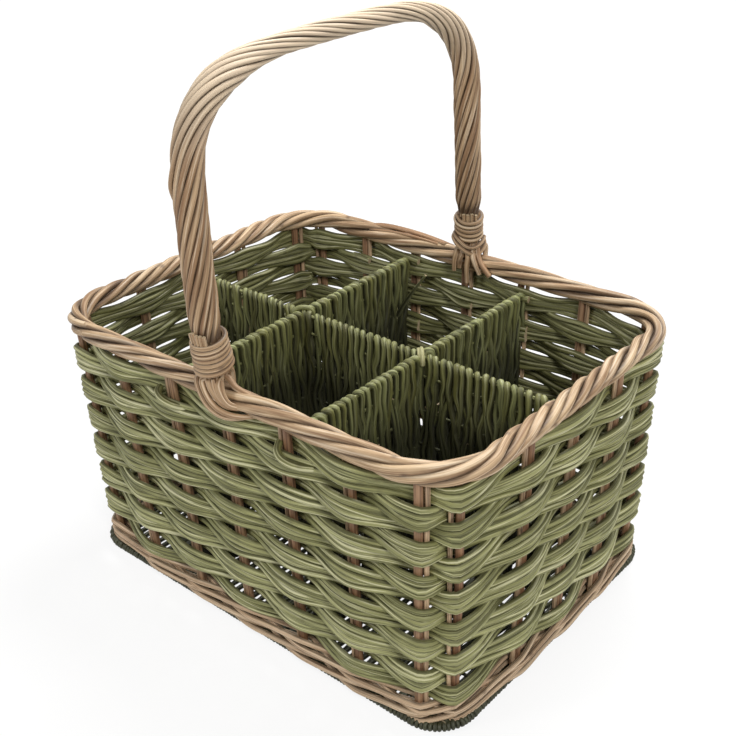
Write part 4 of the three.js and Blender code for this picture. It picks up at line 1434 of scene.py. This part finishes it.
def wind_collar(name, plan, rod, line, rng):
    """A thin rod wound round a foot of the handle, and the cut ends that stand up behind its last turn."""
    low_side = math.radians(plan.low_side)
    rods = Rods()

    def along(rise, angle):
        """Distance along the handle of points that lie this far up the tilted collar."""
        lowered = rise - plan.tilt * np.cos(angle - low_side)
        return lowered if plan.sign > 0 else line.length - lowered

    turn = np.linspace(0, plan.turns, int(plan.turns * POINTS_PER_TURN) + 1)
    angle = FULL_TURN * turn + plan.first_angle
    reach = np.interp(turn / plan.turns, PROFILE_SHARES, plan.profile) + wander(turn * 40, 0.2, 90, rng)
    for past, (depth, turns) in ((turn, TUCKED_START), (plan.turns - turn, TUCKED_END)):
        reach -= depth * (1 - ease(past / turns))
    path = beside(line, along(plan.bottom + plan.pitch * turn + rod, angle), angle, reach)
    rods.add(path, rod * (1 + 0.05 * np.sin(turn * 3)), 0.35)
    top = plan.bottom + plan.pitch * plan.turns
    for degrees in plan.stubs:
        angle = np.full(STUB.points, math.radians(degrees))
        run = np.linspace(top - STUB.below, top + rng.uniform(*STUB.above), STUB.points)
        reach = np.linspace(plan.stub_reach, plan.stub_reach + STUB.lean, STUB.points)
        radius = STUB.rod * rng.uniform(0.9, 1.1)
        rods.add(beside(line, along(run, angle), angle, reach), radius, rng.uniform(0.1, 0.6))
    for keys, radius in plan.hanging:
        rods.add(smooth_path(keys, 1.5), radius, 0.3)
    # The collar's turns get painted shade where they touch one above the other
    lay_piece(f"wound_collar_{name}", rods, "natural_willow", 130, [f"collar_{name}"], sides=12, uneven=0.08,
              creases=lambda points, normals: fade(np.abs(normals[:, 2]), 0.55, 0.95))


# Stage


# The photograph's viewpoint, worked out from the corners of the basket: angles in degrees, the place it looks
# at and its distance in metres, and its lens in millimetres
VIEW = SimpleNamespace(
    turn=41.4095, rise=28.6139, roll=-1.8045, aim_across=0.005, aim_height=0.151804, away=0.792569,
    lens=54.893,
)

# Each lamp: its place and the place it shines at, in metres, its size, its power in watts, and its tone
LAMPS = (
    ("key_softbox", (1.2, -0.7, 1.3), (0, 0, 0.12), 0.5, 14.5, (1.0, 0.985, 0.96)),
    ("left_softbox", (-0.9, -1.5, 1.2), (0, 0, 0.12), 0.5, 9.0, (1.0, 0.995, 0.985)),
    ("top_softbox", (-0.05, 0.55, 1.25), (0, 0, 0.25), 0.6, 16.0, (1.0, 1.0, 1.0)),
)
WORLD_LIGHT = 0.19
FLOOR_TONE, FLOOR_GLOW, FLOOR_REACH = (0.8, 0.8, 0.8, 1), 1.07, 4.0


def link_new(name, data):
    made = bpy.data.objects.new(name, data)
    bpy.context.scene.collection.objects.link(made)
    return made


def set_camera():
    turn, rise, roll = (math.radians(angle) for angle in (VIEW.turn, VIEW.rise, VIEW.roll))
    back = Vector((math.sin(turn) * math.cos(rise), -math.cos(turn) * math.cos(rise), math.sin(rise)))
    level = Vector((math.cos(turn), math.sin(turn), 0))
    steep = back.cross(level)
    right = level * math.cos(roll) + steep * math.sin(roll)
    up = steep * math.cos(roll) - level * math.sin(roll)
    target = level * VIEW.aim_across + Vector((0, 0, VIEW.aim_height))
    data = bpy.data.cameras.new("photo_camera")
    data.lens, data.sensor_width = VIEW.lens, 36.0
    data.clip_start, data.clip_end = 0.01, 50.0
    camera = link_new("photo_camera", data)
    axes = Matrix((right, up, back)).transposed().to_4x4()
    camera.matrix_world = Matrix.Translation(target + back * VIEW.away) @ axes
    bpy.context.scene.camera = camera


def add_lamp(name, place, aim, size, power, tone):
    data = bpy.data.lights.new(name, "AREA")
    data.shape = "DISK"
    data.size, data.energy, data.color = size, power, tone
    lamp = link_new(name, data)
    lamp.location = place
    lamp.rotation_euler = (Vector(aim) - Vector(place)).to_track_quat("-Z", "Y").to_euler()


def floor_material():
    """A pale floor that shows white to the camera, with the object's shadow on it."""
    material, made, shader = new_material("pale_floor")
    nodes = material.node_tree.nodes
    nodes.remove(shader)
    diffuse = made.node("ShaderNodeBsdfDiffuse", {"Color": FLOOR_TONE})
    glow = made.node("ShaderNodeEmission", {"Color": (1, 1, 1, 1), "Strength": FLOOR_GLOW})
    away = made.vector_math("LENGTH", made.object_place(), output=1)
    ranges = {0: away, 1: 0.3, 2: 0.75, 3: 0.8, 4: 1.0}  # the glow's share, from 0.3 m away out to 0.75 m
    share = made.node("ShaderNodeMapRange", ranges).outputs[0]
    glowing = made.math("MULTIPLY", made.seen_directly(), share)
    mixed = made.node("ShaderNodeMixShader", {0: glowing, 1: diffuse, 2: glow})
    made.feed(mixed, nodes["Material Output"].inputs["Surface"])
    return material


def set_world():
    """A soft surround: pure white where it is seen, and weak where it lights the basket."""
    world = bpy.data.worlds.new("soft_surround")
    bpy.context.scene.world = world
    world.use_nodes = True
    made = Tree(world.node_tree)
    background = world.node_tree.nodes["Background"]
    strengths = {0: made.seen_directly(), 2: WORLD_LIGHT, 3: 1.0}
    strength = made.node("ShaderNodeMix", strengths, data_type="FLOAT")
    made.feed(strength, background.inputs["Strength"])
    background.inputs["Color"].default_value = (1, 1, 1, 1)


def set_stage():
    bpy.context.scene.view_settings.view_transform = "Standard"
    set_world()
    for lamp in LAMPS:
        add_lamp(*lamp)
    mesh = bpy.data.meshes.new("floor")
    corners = [(x * FLOOR_REACH, y * FLOOR_REACH, 0) for x, y in ((-1, -1), (1, -1), (1, 1), (-1, 1))]
    mesh.from_pydata(corners, [], [(0, 1, 2, 3)])
    floor = link_new("floor", mesh)
    mesh.materials.append(floor_material())
    set_camera()


# Operators and panel


class PrepareWillow(bpy.types.Operator):
    """Makes the willow materials and the node trees that sweep the rods"""

    bl_idname = "basket.prepare_willow"
    bl_label = "Prepare Willow"

    def execute(self, context):
        make_materials()
        swept_rods_tree()
        edge_loops_tree()
        return {"FINISHED"}


class LayBase(bpy.types.Operator):
    """Lays the rods of the base and the looped edge round it"""

    bl_idname = "basket.lay_base"
    bl_label = "Lay Base"

    def execute(self, context):
        lay_base(sizes_in_mm())
        return {"FINISHED"}


class SetStakes(bpy.types.Operator):
    """Sets up the stakes that carry the wall"""

    bl_idname = "basket.set_stakes"
    bl_label = "Set Stakes"

    def execute(self, context):
        sizes = sizes_in_mm()
        lay_stakes(sizes, WallRing(sizes))
        return {"FINISHED"}


class WeaveWall(bpy.types.Operator):
    """Weaves the natural wale and the green rows of the wall"""

    bl_idname = "basket.weave_wall"
    bl_label = "Weave Wall"

    def execute(self, context):
        sizes = sizes_in_mm()
        ring = WallRing(sizes)
        weave_wale(sizes, ring)
        weave_rows(sizes, ring)
        return {"FINISHED"}


class TwistBorder(bpy.types.Operator):
    """Twists the rope border round the top of the wall"""

    bl_idname = "basket.twist_border"
    bl_label = "Twist Border"

    def execute(self, context):
        sizes = sizes_in_mm()
        twist_border(sizes, WallRing(sizes))
        return {"FINISHED"}


class BuildDividers(bpy.types.Operator):
    """Weaves the dividers and ties their crossings"""

    bl_idname = "basket.build_dividers"
    bl_label = "Build Dividers"

    def execute(self, context):
        build_dividers(sizes_in_mm())
        return {"FINISHED"}


class TwistHandle(bpy.types.Operator):
    """Twists the bow handle and winds a collar round each foot"""

    bl_idname = "basket.twist_handle"
    bl_label = "Twist Handle"

    def execute(self, context):
        sizes = sizes_in_mm()
        line = handle_line(sizes)
        twist_handle(sizes, line)
        wind_collars(sizes, line)
        return {"FINISHED"}


class SetStage(bpy.types.Operator):
    """Sets the floor, the soft light and the camera"""

    bl_idname = "basket.set_stage"
    bl_label = "Set Stage"

    def execute(self, context):
        set_stage()
        return {"FINISHED"}


OPERATORS = (
    PrepareWillow, LayBase, SetStakes, WeaveWall, TwistBorder, BuildDividers, TwistHandle, SetStage,
)


class BasketPanel(bpy.types.Panel):
    """Steps and sizes of the basket"""

    bl_idname = "VIEW3D_PT_basket"
    bl_label = "Wicker Bottle Basket"
    bl_space_type = "VIEW_3D"
    bl_region_type = "UI"
    bl_category = "Basket"

    def draw(self, context):
        for operator in OPERATORS:
            self.layout.operator(operator.bl_idname)
        for group in (context.scene.basket_sizes, context.scene.basket_colours):
            for name in type(group).__annotations__:
                self.layout.prop(group, name)


CLASSES = (BasketSizes, BasketColours) + OPERATORS + (BasketPanel,)


def register():
    for made in CLASSES:
        bpy.utils.register_class(made)
    bpy.types.Scene.basket_sizes = bpy.props.PointerProperty(type=BasketSizes)
    bpy.types.Scene.basket_colours = bpy.props.PointerProperty(type=BasketColours)


def unregister():
    del bpy.types.Scene.basket_colours
    del bpy.types.Scene.basket_sizes
    for made in reversed(CLASSES):
        bpy.utils.unregister_class(made)


def main():
    register()
    for step in ("prepare_willow", "lay_base", "set_stakes", "weave_wall", "twist_border", "build_dividers",
                 "twist_handle", "set_stage"):
        getattr(bpy.ops.basket, step)()


if __name__ == "__main__":
    main()
